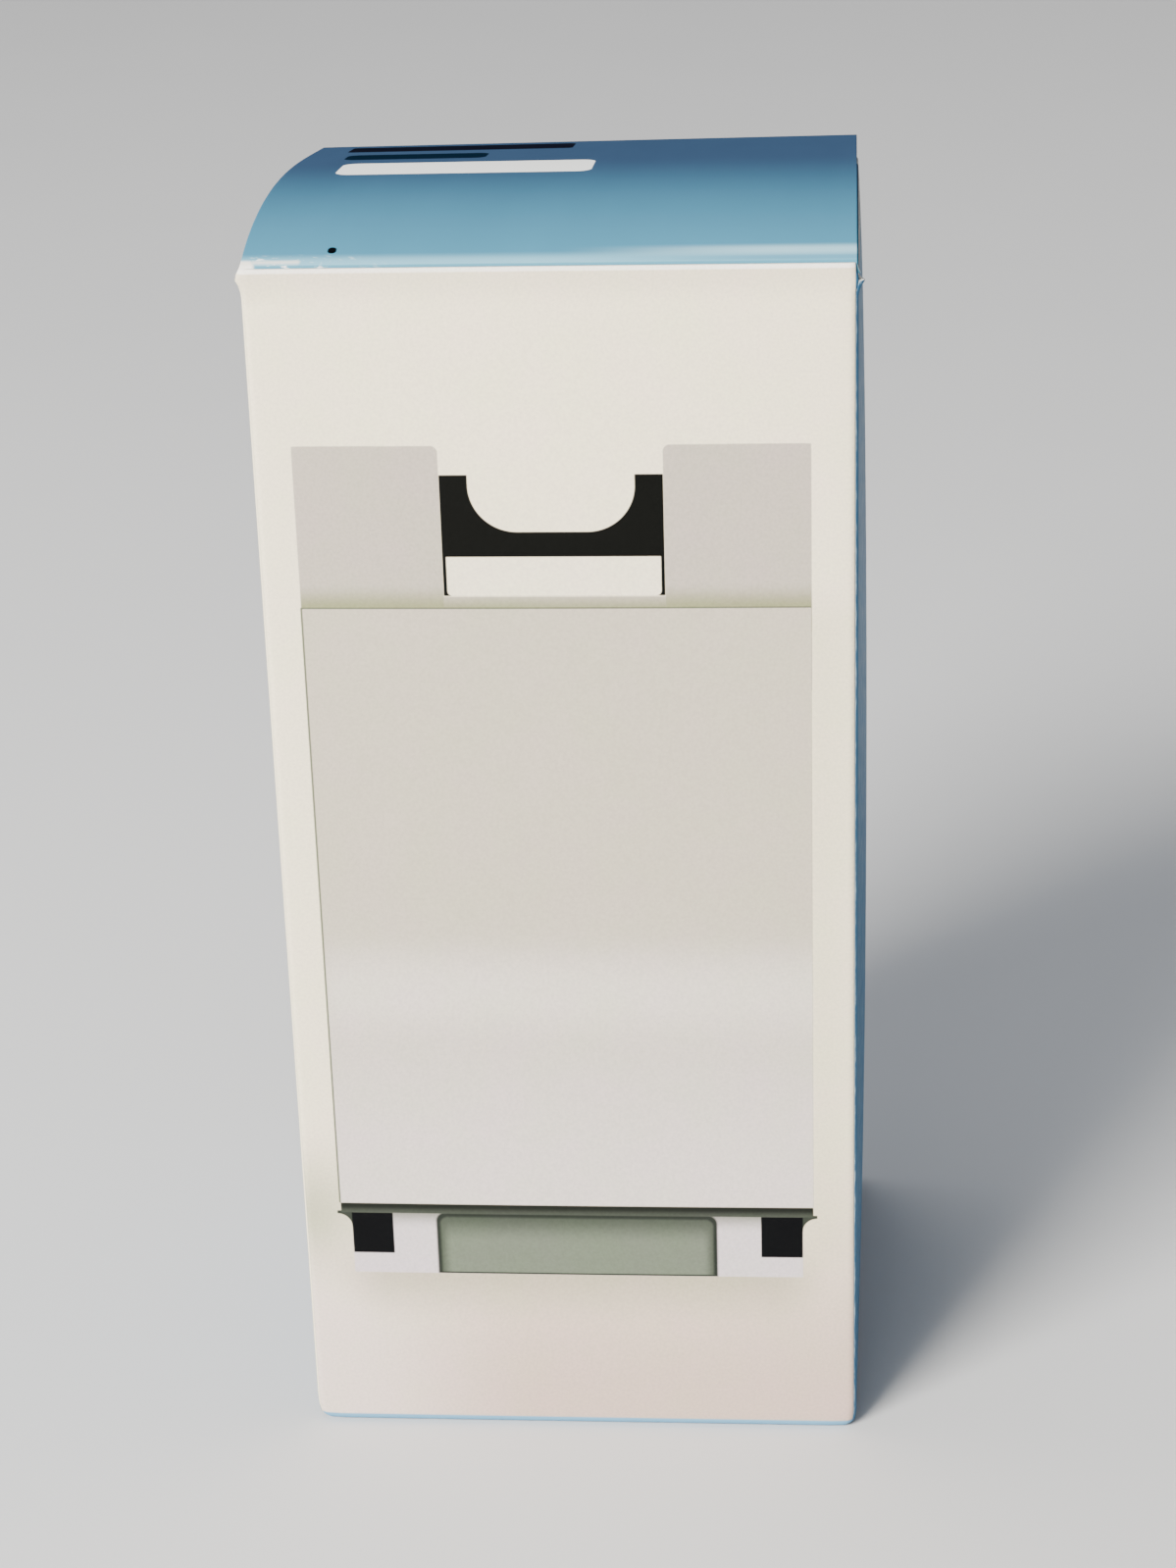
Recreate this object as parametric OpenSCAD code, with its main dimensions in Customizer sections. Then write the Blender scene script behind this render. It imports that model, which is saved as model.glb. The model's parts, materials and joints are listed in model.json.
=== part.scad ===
// Boxed smart switch: a tuck-end retail carton, the lift-out card tray inside it, and the
// battery-powered switch actuator that the tray holds, with its drive, latch and button.
// Frame: +Z up, front of the carton faces -Y, origin at the middle of the carton's base.

/* [Carton] */
// Outer width of the carton
carton_w = 76; // [74:0.5:90]
// Outer depth of the carton
carton_d = 72; // [71:0.5:90]
// Height of the carton at the front crease of the lid
carton_h = 165.6; // [160:0.2:190]
// Thickness of the folding boxboard
board_t = 0.6; // [0.4:0.1:0.7]

/* [Lid and flaps] */
// How far the bowed lid stands above its two creases
lid_rise = 4.4; // [2:0.2:6]
// Skew of the bow, below 1 brings its crest towards the front
lid_skew = 0.69; // [0.6:0.01:1]
// Length of the tuck flap below the lid
tuck_len = 14; // [8:1:16]
// Inward lean of the tucked flap, degrees
tuck_lean = 12; // [10:1:14]
// Reach of each top dust flap from its crease
dust_len = 26; // [18:1:26]

/* [Tray] */
// Thickness of the tray card
tray_t = 1; // [0.8:0.1:1.2]
// Height of the tray's side and rear walls above the base
tray_wall_top = 108; // [90:1:110]
// Width of the pull tab on the divider
pull_tab_w = 34; // [26:1:34]
// Top of the pull tab above the base
pull_tab_top = 150; // [140:1:151]

/* [Switch actuator] */
// Width of the actuator
device_w = 65.6; // [65:0.1:66]
// Height of the actuator
device_h = 118.4; // [118:0.1:119]
// Depth of the actuator
device_t = 31; // [31:0.1:31.2]
// Wall thickness of the moulded shells
shell_t = 1.6; // [1.2:0.1:1.6]
// Lower edge of the front cover
cover_low = 10.9; // [10.8:0.1:11]
// Upper edge of the front cover
cover_high = 97; // [96.8:0.1:97]
// Width of the notch between the two shoulders
notch_w = 28.2; // [28:0.1:28.4]

/* [Drive] */
// Height of the carriage centre, at the middle of the wall switch
carriage_z = 59; // [58:0.5:60]
// Travel of the carriage either way
carriage_travel = 8; // [6:0.5:8]
// Advance of the carriage in one turn of the screw
screw_lead = 8; // [6:1:8]
// Gear module
gear_m = 0.5; // [0.5:0.1:0.5]
// Teeth on the motor gear
motor_teeth = 14; // [14:1:14]
// Teeth on the screw gear
screw_teeth = 18; // [18:1:18]

/* [Hidden] */
$fn = 48;

// Carton
half_w = carton_w / 2;
half_d = carton_d / 2;
front_y = -half_d;
front_edge_z = carton_h - 0.8;
side_edge_z = carton_h - 1.8;
back_edge_z = carton_h - 0.7;
lid_hinge = [half_d - board_t / 2, carton_h - 0.6];
lid_root = 1;
tuck_hinge = [front_y + board_t + 0.3, carton_h - 0.6];
dust_hinge = [half_w - board_t / 2, side_edge_z + 0.1];
dust_root = 0.5;
LID_STEPS = 28;

// Tray
tray_x = half_w - board_t - 0.9;
tray_front = front_y + 2.2;
tray_rear = half_d - 1.4;
tray_z = 3 * board_t - 0.4;
tray_top = tray_z + tray_t;
divider_y = 0;

// Switch actuator, in its own frame: y = 0 is the front of the cover, z = 0 its lower end
device_at = [0, front_y + 2.6, tray_top];
half_dev = device_w / 2;
half_notch = notch_w / 2;
shelf_y = 12;
joint_y = 20.2;
plate_y = device_t - shell_t;
foot_half = half_dev - 1.8;
foot_top = cover_low - 0.4;
window_half = 19.1;
window_top = 9.1;
pad_size = 5.7;
screw_xy = [20, 24];
rail_x = -18;
rail_r = 1.5;
thread_r = 2;
run_gap = 0.05;
bearing_z = [21.5, 86];
bearing_h = 5;
chassis_screw_xz = [[-28.3, 30], [28.3, 30], [-28.3, 90], [28.3, 90]];
board_post_xz = [[14, 53], [27.4, 85.5]];
motor_xy = [screw_xy[0], screw_xy[1] - gear_m * (motor_teeth + screw_teeth) / 2];
gear_z = [13.6, 17.6];
aa_r = 7.25;
aa_len = 50.5;
aa_x = [-13.8, 1];
aa_z = [25.8, 23.4];
bay_z = [23, 76.7];
button_at = [80, 11.5];

// Shared shapes
module box(x, y, z) {
    translate([x[0], y[0], z[0]]) cube([x[1] - x[0], y[1] - y[0], z[1] - z[0]]);
}

// A 2D outline in X and Z, made solid from y[0] to y[1]
module slab_y(y) {
    translate([0, y[1], 0]) rotate([90, 0, 0]) linear_extrude(y[1] - y[0]) children();
}

// A 2D outline in Y and Z, made solid from x[0] to x[1]
module slab_x(x) {
    translate([x[0], 0, 0]) rotate([90, 0, 90]) linear_extrude(x[1] - x[0]) children();
}

// A rectangle between two corners with round corners of radius r
module rounded(low, high, r) {
    translate([low[0] + r, low[1]]) square([high[0] - low[0] - 2 * r, high[1] - low[1]]);
    translate([low[0], low[1] + r]) square([high[0] - low[0], high[1] - low[1] - 2 * r]);
    for (x = [low[0] + r, high[0] - r], y = [low[1] + r, high[1] - r])
        translate([x, y]) circle(r);
}

module rod_z(xy, r, z) {
    translate([xy[0], xy[1], z[0]]) cylinder(r = r, h = z[1] - z[0]);
}

module rod_y(xz, r, y) {
    translate([xz[0], y[1], xz[1]]) rotate([90, 0, 0]) cylinder(r = r, h = y[1] - y[0]);
}

module rod_x(yz, r, x) {
    translate([x[0], yz[0], yz[1]]) rotate([0, 90, 0]) cylinder(r = r, h = x[1] - x[0]);
}

module placed() {
    translate(device_at) children();
}

// Involute spur gear outline, thinned for backlash, with a tooth centred on +X
function involute(r, roll) = [
    r * (cos(roll) + roll * PI / 180 * sin(roll)),
    r * (sin(roll) - roll * PI / 180 * cos(roll))
];
function roll_at(base, r) = r <= base ? 0 : sqrt(pow(r / base, 2) - 1) * 180 / PI;
function turned(p, a) = [p[0] * cos(a) - p[1] * sin(a), p[0] * sin(a) + p[1] * cos(a)];
function flank(m, n, steps = 4) =
    let (pitch = m * n / 2, base = pitch * cos(20), tip = pitch + m, root = pitch - 1.25 * m,
         at_pitch = involute(base, roll_at(base, pitch)),
         thinned = 0.05 / pitch * 180 / PI,
         half = 90 / n - thinned + atan2(at_pitch[1], at_pitch[0]))
    concat(
        [turned([root, 0], -half)],
        [for (i = [0:steps])
            turned(involute(base, roll_at(base, base + (tip - base) * i / steps)), -half)]
    );
function mirrored(points) =
    [for (i = [len(points) - 1:-1:0]) [points[i][0], -points[i][1]]];
function gear_outline(m, n) = [
    for (k = [0:n - 1]) each
        [for (p = concat(flank(m, n), mirrored(flank(m, n)))) turned(p, 360 * k / n)]
];

// ---- Carton ----

module front_panel() {
    color("ivory")
        box([-half_w, half_w], [front_y, front_y + board_t], [0, front_edge_z]);
}

module back_panel() {
    color("lightsteelblue")
        box([-half_w, half_w], [half_d - board_t, half_d], [0, back_edge_z]);
}

module side_panel(side) {
    inner = half_w - board_t;
    x = side > 0 ? [inner, half_w] : [-half_w, -inner];
    color("lightsteelblue")
        box(x, [front_y + board_t, half_d - board_t], [0, side_edge_z]);
}

module left_panel() {
    side_panel(-1);
}

module right_panel() {
    side_panel(1);
}

// The strip of the back panel that is glued inside the left panel
module glue_flap() {
    glue_w = 14;
    inner = half_w - board_t;
    color("white") slab_x([-inner, -inner + board_t])
        polygon([
            [half_d - board_t, 4], [half_d - board_t, side_edge_z - 4],
            [half_d - board_t - glue_w, side_edge_z - 12], [half_d - board_t - glue_w, 12]
        ]);
}

module bottom_closure() {
    color("lightsteelblue")
        box([-half_w + board_t, half_w - board_t],
            [front_y + board_t, half_d - board_t], [0, board_t]);
}

module bottom_tuck_flap() {
    color("lightsteelblue") slab_y([half_d - 2 * board_t, half_d - board_t])
        polygon([
            [-half_w + 2, board_t], [half_w - 2, board_t], [half_w - 2, 9],
            [half_w - 7, 14], [-half_w + 7, 14], [-half_w + 2, 9]
        ]);
}

module bottom_dust(side) {
    color("lightsteelblue") translate([0, 0, board_t]) linear_extrude(board_t)
        polygon([
            [side * (half_w - board_t), front_y + 1.5], [side * 13, front_y + 4],
            [side * 13, half_d - 16], [side * (half_w - 6), half_d - 3],
            [side * (half_w - board_t), half_d - 3]
        ]);
}

module bottom_dust_left() {
    bottom_dust(-1);
}

module bottom_dust_right() {
    bottom_dust(1);
}

// Height of the bowed lid's outer face, u from 0 at the front crease to 1 at the rear one
function lid_height(u) = carton_h + lid_rise * sin(180 * pow(u, lid_skew));
function lid_edge(drop) =
    let (last = (lid_hinge[0] - lid_root - front_y) / carton_d)
    [for (i = [0:LID_STEPS])
        let (u = last * pow(i / LID_STEPS, 1.5))
        [front_y + u * carton_d, lid_height(u) - drop]];

module top_lid() {
    inner = lid_edge(board_t);
    color("skyblue") slab_x([-half_w, half_w])
        polygon(concat(lid_edge(0), [for (i = [len(inner) - 1:-1:0]) inner[i]]));
}

module top_tuck_flap() {
    w = half_w - 1.5;
    color("skyblue") translate([0, tuck_hinge[0], tuck_hinge[1]])
        rotate([tuck_lean, 0, 0]) slab_y([0, board_t])
            polygon([
                [-w, -0.4], [w, -0.4], [w, -tuck_len + 5], [w - 5, -tuck_len],
                [-w + 5, -tuck_len], [-w, -tuck_len + 5]
            ]);
}

module dust_flap(side) {
    color("skyblue") translate([0, 0, dust_hinge[1]]) linear_extrude(board_t)
        polygon([
            for (p = [[dust_root, front_y + 3.2], [dust_len - 3, front_y + 5.6],
                      [dust_len, front_y + 9], [dust_len, half_d - dust_len - 5],
                      [dust_len - 2, half_d - dust_len - 2.5], [3, half_d - 6.5],
                      [dust_root, half_d - 6.5]])
                [side * (dust_hinge[0] - p[0]), p[1]]
        ]);
}

module dust_flap_left() {
    dust_flap(-1);
}

module dust_flap_right() {
    dust_flap(1);
}

// ---- Lift-out tray ----

module tray_floor() {
    color("whitesmoke") box([-tray_x, tray_x], [tray_front, tray_rear], [tray_z, tray_top]);
}

module tray_side(side) {
    x = side > 0 ? [tray_x - tray_t, tray_x] : [-tray_x, tray_t - tray_x];
    color("whitesmoke") slab_x(x)
        polygon([
            [tray_front, tray_top], [tray_rear, tray_top], [tray_rear, tray_wall_top],
            [divider_y, tray_wall_top], [tray_front + 12, 56], [tray_front, 44]
        ]);
}

module tray_left_wall() {
    tray_side(-1);
}

module tray_right_wall() {
    tray_side(1);
}

module tray_rear_wall() {
    color("whitesmoke")
        box([tray_t - tray_x, tray_x - tray_t], [tray_rear - tray_t, tray_rear],
            [tray_top, tray_wall_top]);
}

// Upright card between the two compartments, with the pull tab and its finger hole
module tray_divider() {
    half = tray_x - tray_t;
    tab = pull_tab_w / 2;
    hole = [7, pull_tab_top - 11];
    hole_r = 5;
    color("whitesmoke") slab_y([divider_y, divider_y + tray_t]) difference() {
        union() {
            translate([-half, tray_top]) square([2 * half, tray_wall_top - tray_top - 4]);
            translate([-tab - 3, tray_top]) square([2 * tab + 6, tray_wall_top - tray_top]);
            rounded([-tab, tray_wall_top - 20], [tab, pull_tab_top], 6);
        }
        rounded([-hole[0] - hole_r, hole[1] - hole_r], [hole[0] + hole_r, hole[1] + hole_r],
                hole_r - 0.01);
    }
}

// Two foam strips that centre the actuator between the tray's side walls
module foam_cheeks() {
    color("gainsboro")
        for (side = [-1, 1])
            box([min(side * (half_dev + 0.4), side * (tray_x - tray_t)),
                 max(side * (half_dev + 0.4), side * (tray_x - tray_t))],
                [front_y + 9, front_y + 29], [tray_top, 40]);
}

module quick_guide() {
    leaf_t = 0.5;
    color("white") for (k = [0:3])
        box([-31 + 0.4 * k, 31 - 0.4 * k],
            [tray_rear - tray_t - leaf_t * (k + 1) - 0.05, tray_rear - tray_t - leaf_t * k - 0.05],
            [tray_top, 104 - 0.8 * k]);
}

module adhesive_pads() {
    color("dimgray") for (x = [-14, 14])
        slab_y([divider_y + tray_t, divider_y + tray_t + 1.1])
            rounded([x - 10, 52], [x + 10, 96], 2);
}

// Two long plate screws lying across the rear compartment
module plate_screws() {
    color("silver") for (k = [0, 1]) translate([-12, 12 + 9 * k, tray_top + 3.5]) {
        rod_x([0, 0], 1.7, [0, 26]);
        translate([-2, 0, 0]) difference() {
            rod_x([0, 0], 3.5, [0, 2]);
            box([-0.1, 0.9], [-0.5, 0.5], [-4, 4]);
        }
    }
}

// ---- Actuator shells ----

// Thin steel plate that stays on the wall: the actuator clips onto it
module wall_bracket() {
    plate_hole_pitch = 60.3;
    color("lightgray") placed() slab_y([device_t + 0.2, device_t + 1.7]) difference() {
        rounded([-29, 12], [29, 108], 4);
        rounded([-8.5, carriage_z - 16.5], [8.5, carriage_z + 16.5], 2);
        for (s = [-1, 1])
            translate([0, carriage_z + s * plate_hole_pitch / 2]) circle(2);
    }
}

module shoulder_notch(y) {
    slab_y(y) {
        rounded([-half_notch, cover_high + 1.5], [half_notch, device_h + 5], 0.8);
        translate([-half_notch, device_h - 1]) square([notch_w, 3]);
    }
}

// Rear shell with two shoulders above and two feet below the front cover
module rear_housing() {
    in_x = half_dev - shell_t;
    color("gainsboro") placed() difference() {
        union() {
            slab_y([joint_y, device_t])
                rounded([-half_dev, foot_top], [half_dev, device_h], 1.2);
            slab_y([shelf_y, joint_y + 1])
                rounded([-half_dev, cover_high + 0.2], [half_dev, device_h], 1.2);
            slab_y([shelf_y, device_t]) rounded([-foot_half, 0], [foot_half, foot_top + 2], 0.8);
        }
        difference() {
            slab_y([joint_y - 0.1, plate_y])
                rounded([-in_x, foot_top + shell_t], [in_x, cover_high - shell_t + 0.2], 0.6);
            for (z = bearing_z) {
                box([screw_xy[0] - 3.6, screw_xy[0] + 3.6], [joint_y + 0.1, device_t],
                    [z, z + bearing_h]);
                box([rail_x - 3, rail_x + 3], [joint_y + 0.1, device_t], [z, z + bearing_h]);
            }
            for (p = chassis_screw_xz) rod_y(p, 2.6, [joint_y, device_t]);
        }
        box([-foot_half - 1, foot_half + 1], [shelf_y - 1, joint_y], [foot_top, foot_top + 3]);
        for (s = [-1, 1]) scale([s, 1, 1]) {
            box([half_notch + shell_t, in_x], [shelf_y + shell_t, plate_y],
                [cover_high + 1.8, device_h - shell_t]);
            box([half_notch + shell_t + 3, in_x - 2], [joint_y + 1, plate_y],
                [cover_high - shell_t, cover_high + 2]);
        }
        shoulder_notch([shelf_y - 1, device_t + 1]);
        for (s = [-1, 1])
            box([min(s * half_notch, s * (half_notch + 0.8)) - 0.01,
                 max(s * half_notch, s * (half_notch + 0.8)) + 0.01],
                [17.8, 22.2], [cover_high + 6, device_h + 1]);
        slab_y([shelf_y - 1, shelf_y + shell_t + 0.1]) {
            rounded([-window_half, -3], [window_half, window_top], 1.2);
        }
        box([-foot_half + shell_t, foot_half - shell_t], [shelf_y + shell_t, plate_y],
            [shell_t, foot_top - 1.4]);
        for (s = [-1, 1])
            box([min(s * (foot_half - pad_size), s * (foot_half + 1)),
                 max(s * (foot_half - pad_size), s * (foot_half + 1))],
                [shelf_y - 1, shelf_y + 1.2], [3.2, window_top]);
        slab_y([plate_y - 1, device_t + 1])
            rounded([-8, carriage_z - 16], [8, carriage_z + 16], 1.5);
        for (z = bearing_z) {
            rod_z(screw_xy, 2.42, [z - 0.1, z + bearing_h + 0.1]);
            rod_z([rail_x, screw_xy[1]], rail_r + 0.01, [z - 0.1, z + bearing_h + 0.1]);
        }
        for (p = chassis_screw_xz) rod_y(p, 1.05, [joint_y - 0.1, joint_y + 6.5]);
    }
}

// Front shell that lifts off to change the batteries
module front_cover() {
    in_x = half_dev - shell_t;
    color("white") placed() difference() {
        slab_y([0, joint_y - 0.2]) rounded([-half_dev, cover_low], [half_dev, cover_high], 1.2);
        slab_y([shell_t, joint_y])
            rounded([-in_x, cover_low + shell_t], [in_x, cover_high - shell_t], 0.6);
        rod_x([button_at[1], button_at[0]], 2.1, [half_dev - 3, half_dev + 1]);
    }
}

module corner_pads() {
    color("black") placed() for (s = [-1, 1])
        box([min(s * (foot_half - pad_size), s * foot_half),
             max(s * (foot_half - pad_size), s * foot_half)],
            [shelf_y, shelf_y + 1.2], [3.2, window_top]);
}

module light_window() {
    color("darkseagreen") placed() slab_y([shelf_y, shelf_y + 1.4]) intersection() {
        rounded([-window_half + 0.2, -3], [window_half - 0.2, window_top - 0.2], 1.1);
        translate([-window_half, 0]) square([2 * window_half, window_top]);
    }
}

module led_board() {
    color("darkgreen") placed() box([-9, 9], [17, 18], [shell_t, 7.6]);
}

module status_led() {
    color("ivory") placed() for (x = [-6, 0, 6])
        box([x - 1, x + 1], [16, 17], [3.6, 5.6]);
}

// Black U-shaped latch that slides up between the shoulders
module release_latch() {
    low = 103.9;
    color("black") placed() {
        slab_y([14, 26]) difference() {
            translate([-half_notch + 0.1, low]) square([notch_w - 0.2, 10.6]);
            rounded([-10.75, 107], [10.75, 125], 5.9);
        }
        for (s = [-1, 1])
            box([min(s * (half_notch - 0.2), s * (half_notch + 0.6)),
                 max(s * (half_notch - 0.2), s * (half_notch + 0.6))],
                [18, 22], [low, low + 10.6]);
    }
}

module latch_thumb_bar() {
    color("white") placed() slab_y([12.6, 26])
        rounded([-13.7, cover_high + 1.6], [13.7, 103.9], 0.5);
}

// Plate that carries the drive, the batteries and the circuit board
module chassis() {
    color("silver") placed() difference() {
        union() {
            box([-30.6, 30.6], [joint_y - 2, joint_y], [20, 94.4]);
            for (p = board_post_xz) rod_y(p, 2, [14.2, joint_y - 1.9]);
        }
        box([motor_xy[0] - 6.5, motor_xy[0] + 6.5], [joint_y - 3, joint_y + 1], [19, 45]);
        for (p = chassis_screw_xz) rod_y(p, 1.2, [joint_y - 3, joint_y + 1]);
        for (p = board_post_xz) rod_y(p, 0.85, [13, joint_y - 2]);
        slab_y([joint_y - 3, joint_y + 1]) for (x = [-10, 10], z = [30, 84])
            translate([x, z]) circle(3);
    }
}

module pan_screw(xz, head_r, shank_r, head_y, tip_y) {
    difference() {
        union() {
            rod_y(xz, head_r, [head_y, head_y + 1.3]);
            rod_y(xz, shank_r, [head_y + 1.2, tip_y]);
        }
        for (a = [0, 90]) translate([xz[0], head_y - 0.1, xz[1]]) rotate([0, a, 0])
            box([-head_r * 0.6, head_r * 0.6], [0, 0.7], [-0.3, 0.3]);
    }
}

module chassis_screws() {
    color("silver") placed() for (p = chassis_screw_xz)
        pan_screw(p, 2.2, 1, joint_y - 3.3, joint_y + 6);
}

// ---- Batteries ----

module battery_holder() {
    color("dimgray") placed() difference() {
        box([-22.4, 9.6], [6, 18.2], [bay_z[0] - 1.4, bay_z[1] + 1.4]);
        box([-21.2, 8.4], [5, 17], bay_z);
        box([-12, 0], [5, 19], [43, 57]);
    }
}

// Two AA cells, laid opposite ways
module batteries() {
    nub = 1.4;
    color("darkgreen") placed() for (k = [0, 1])
        translate([aa_x[k], 9.6, aa_z[k] + aa_len / 2]) rotate([k * 180, 0, 0])
            translate([0, 0, -aa_len / 2]) {
                cylinder(r = aa_r, h = aa_len - nub);
                cylinder(r = 2.7, h = aa_len);
            }
}

// Conical coil springs on the flat ends of the cells
module battery_springs() {
    turns = 2.5;
    steps = 40;
    sides = 6;
    wire = 0.35;
    height = 2.2;
    function coil_at(i) =
        let (u = i / steps, a = 360 * turns * u, r = 4.4 - 2.2 * u)
        [r * cos(a), r * sin(a), wire + u * (height - 2 * wire)];
    function ring(i) =
        let (c = coil_at(i), a = 360 * turns * i / steps)
        [for (k = [0:sides - 1])
            let (b = 360 * k / sides)
            [c[0] + wire * cos(b) * cos(a), c[1] + wire * cos(b) * sin(a),
             c[2] + wire * sin(b)]];
    color("silver") placed() for (k = [0, 1])
        translate([aa_x[k], 9.6, k == 0 ? bay_z[0] + 0.42 : bay_z[1] - 0.42])
            rotate([k * 180, 0, 0])
                polyhedron(
                    points = [for (i = [0:steps]) each ring(i)],
                    faces = concat(
                        [[for (k = [0:sides - 1]) k]],
                        [for (i = [0:steps - 1], k = [0:sides - 1])
                            [i * sides + k, (i + 1) * sides + k,
                             (i + 1) * sides + (k + 1) % sides, i * sides + (k + 1) % sides]],
                        [[for (k = [sides - 1:-1:0]) steps * sides + k]]
                    )
                );
}

module battery_plates() {
    color("silver") placed() {
        for (k = [0, 1]) {
            box([aa_x[k] - 5, aa_x[k] + 5], [7, 15], [bay_z[0], bay_z[0] + 0.4]);
            box([aa_x[k] - 5, aa_x[k] + 5], [7, 15], [bay_z[1] - 0.4, bay_z[1]]);
        }
    }
}

// ---- Electronics ----

module circuit_board() {
    color("darkgreen") placed() difference() {
        box([11, 28.8], [13, 14.2], [48, 94]);
        for (p = board_post_xz) rod_y(p, 1.1, [12, 15]);
    }
}

module radio_module() {
    color("silver") placed() {
        box([12, 24.6], [10.6, 13], [66, 84]);
        box([12, 24.6], [12.2, 13], [84, 89.5]);
    }
}

module board_chips() {
    color("black") placed() {
        box([15, 21], [11.8, 13], [56, 62]);
        box([23.6, 27], [11.9, 13], [56.5, 61]);
        box([13, 15.4], [12.2, 13], [63, 64.4]);
        box([26, 28.4], [12.2, 13], [65, 66.6]);
        box([26, 28.4], [12.2, 13], [69, 70.6]);
        rod_y([26.6, 75], 1.9, [8.6, 13]);
    }
}

module board_screws() {
    color("silver") placed() for (p = board_post_xz)
        pan_screw(p, 1.7, 0.8, 11.7, joint_y - 3);
}

module push_switch() {
    color("dimgray") placed() {
        box([26.4, 28.8], [10, 13], [button_at[0] - 2, button_at[0] + 2]);
        rod_x([button_at[1], button_at[0]], 0.9, [28.7, 29.1]);
    }
}

module pairing_button() {
    color("lightgray") placed() {
        rod_x([button_at[1], button_at[0]], 2, [29.8, half_dev + 0.2]);
        rod_x([button_at[1], button_at[0]], 2.9, [29.8, 30.6]);
    }
}

module motor_leads() {
    steps = 16;
    sides = 8;
    r = 0.45;
    start = [motor_xy[0], 13.5, 41.6];
    finish = [motor_xy[0], 14.7, 49.5];
    function lead_at(x, u) = [
        x, start[1] + (finish[1] - start[1]) * u + 1.6 * sin(180 * u),
        start[2] + (finish[2] - start[2]) * (1 - cos(180 * u)) / 2
    ];
    function lead_dir(x, u) =
        let (d = lead_at(x, min(u + 0.01, 1)) - lead_at(x, max(u - 0.01, 0))) d / norm(d);
    for (side = [-1, 1]) color(side < 0 ? "red" : "black") placed()
        let (x = motor_xy[0] + 2.5 * side)
        polyhedron(
            points = [for (i = [0:steps]) each
                let (c = lead_at(x, i / steps), d = lead_dir(x, i / steps))
                [for (k = [0:sides - 1])
                    c + r * (cos(360 * k / sides) * [1, 0, 0]
                             + sin(360 * k / sides) * cross(d, [1, 0, 0]))]],
            faces = concat(
                [[for (k = [sides - 1:-1:0]) k]],
                [for (i = [0:steps - 1], k = [0:sides - 1])
                    [i * sides + k, i * sides + (k + 1) % sides,
                     (i + 1) * sides + (k + 1) % sides, (i + 1) * sides + k]],
                [[for (k = [0:sides - 1]) steps * sides + k]]
            )
        );
}

// ---- Drive ----

module gearbox() {
    color("goldenrod") placed() difference() {
        union() {
            for (z = [19.6, 23.4, 27.6])
                box([motor_xy[0] - 6, motor_xy[0] + 6], [motor_xy[1] - 5, motor_xy[1] + 4],
                    [z, z + 1]);
            for (x = [-4.6, 4.6], y = [-3.8, 2.8])
                rod_z([motor_xy[0] + x, motor_xy[1] + y], 0.9, [19.6, 28.6]);
            rod_z(motor_xy, 3, [20, 28]);
        }
        rod_z(motor_xy, 1 + run_gap, [19, 26]);
    }
}

module motor_can() {
    color("silver") placed() {
        intersection() {
            rod_z(motor_xy, 6, [28.6, 41.2]);
            box([motor_xy[0] - 7, motor_xy[0] + 7], [motor_xy[1] - 5, motor_xy[1] + 5],
                [28, 42]);
        }
        rod_z(motor_xy, 2.2, [41.1, 41.7]);
    }
}

module motor_shaft() {
    color("silver") placed() rod_z(motor_xy, 1, [13.2, 25.5]);
}

module spur_gear(xy, teeth, bore, turn) {
    translate([xy[0], xy[1], gear_z[0]]) linear_extrude(gear_z[1] - gear_z[0]) difference() {
        rotate(turn) polygon(gear_outline(gear_m, teeth));
        circle(bore);
    }
}

module motor_gear() {
    color("goldenrod") placed()
        spur_gear(motor_xy, motor_teeth, 1, 90 + 180 / motor_teeth);
}

module screw_gear() {
    color("white") placed() spur_gear(screw_xy, screw_teeth, rail_r, -90);
}

// Plain ends joined by a middle with a rolled four-start thread
module leadscrew() {
    starts = 4;
    thread_z = [29, 83];
    length = thread_z[1] - thread_z[0];
    root_r = thread_r - 0.4;
    color("silver") placed() {
        rod_z(screw_xy, rail_r, [12.8, thread_z[0]]);
        translate([screw_xy[0], screw_xy[1], thread_z[0]])
            linear_extrude(length, twist = -360 * length / screw_lead, slices = 12 * length / 8,
                           segments = 1, $fn = 8)
                polygon([
                    for (k = [0:starts - 1], a = [-36, -14, 14, 36])
                        let (r = abs(a) > 20 ? root_r : thread_r)
                        [r * cos(90 * k + a), r * sin(90 * k + a)]
                ]);
        rod_z(screw_xy, rail_r, [thread_z[1], 92]);
    }
}

module screw_bushes() {
    color("goldenrod") placed() for (z = bearing_z) difference() {
        rod_z(screw_xy, 2.4, [z, z + bearing_h]);
        rod_z(screw_xy, rail_r + run_gap, [z - 1, z + bearing_h + 1]);
    }
}

module guide_rail() {
    color("silver") placed()
        rod_z([rail_x, screw_xy[1]], rail_r, [bearing_z[0], bearing_z[1] + bearing_h]);
}

// Carriage whose fork carries the wall switch's lever up and down
module toggle_carriage() {
    z = [carriage_z - 9, carriage_z + 9];
    color("dimgray") placed() difference() {
        union() {
            box([screw_xy[0] - 4, screw_xy[0] + 4], [joint_y + 0.5, 27.6], z);
            box([rail_x - 3.4, rail_x + 3.4], [joint_y + 0.5, 27], z);
            box([rail_x, screw_xy[0]], [22, 25], z);
            for (s = [-1, 1])
                box([-7, 7], [24.9, 29.1],
                    [carriage_z + min(s * 5.6, s * 8.6), carriage_z + max(s * 5.6, s * 8.6)]);
        }
        box([-6, 6], [20, 31], [carriage_z - 5.6, carriage_z + 5.6]);
        rod_z(screw_xy, thread_r + 0.1, [z[0] - 1, z[1] + 1]);
        rod_z([rail_x, screw_xy[1]], rail_r + run_gap, [z[0] - 1, z[1] + 1]);
    }
}

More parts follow.
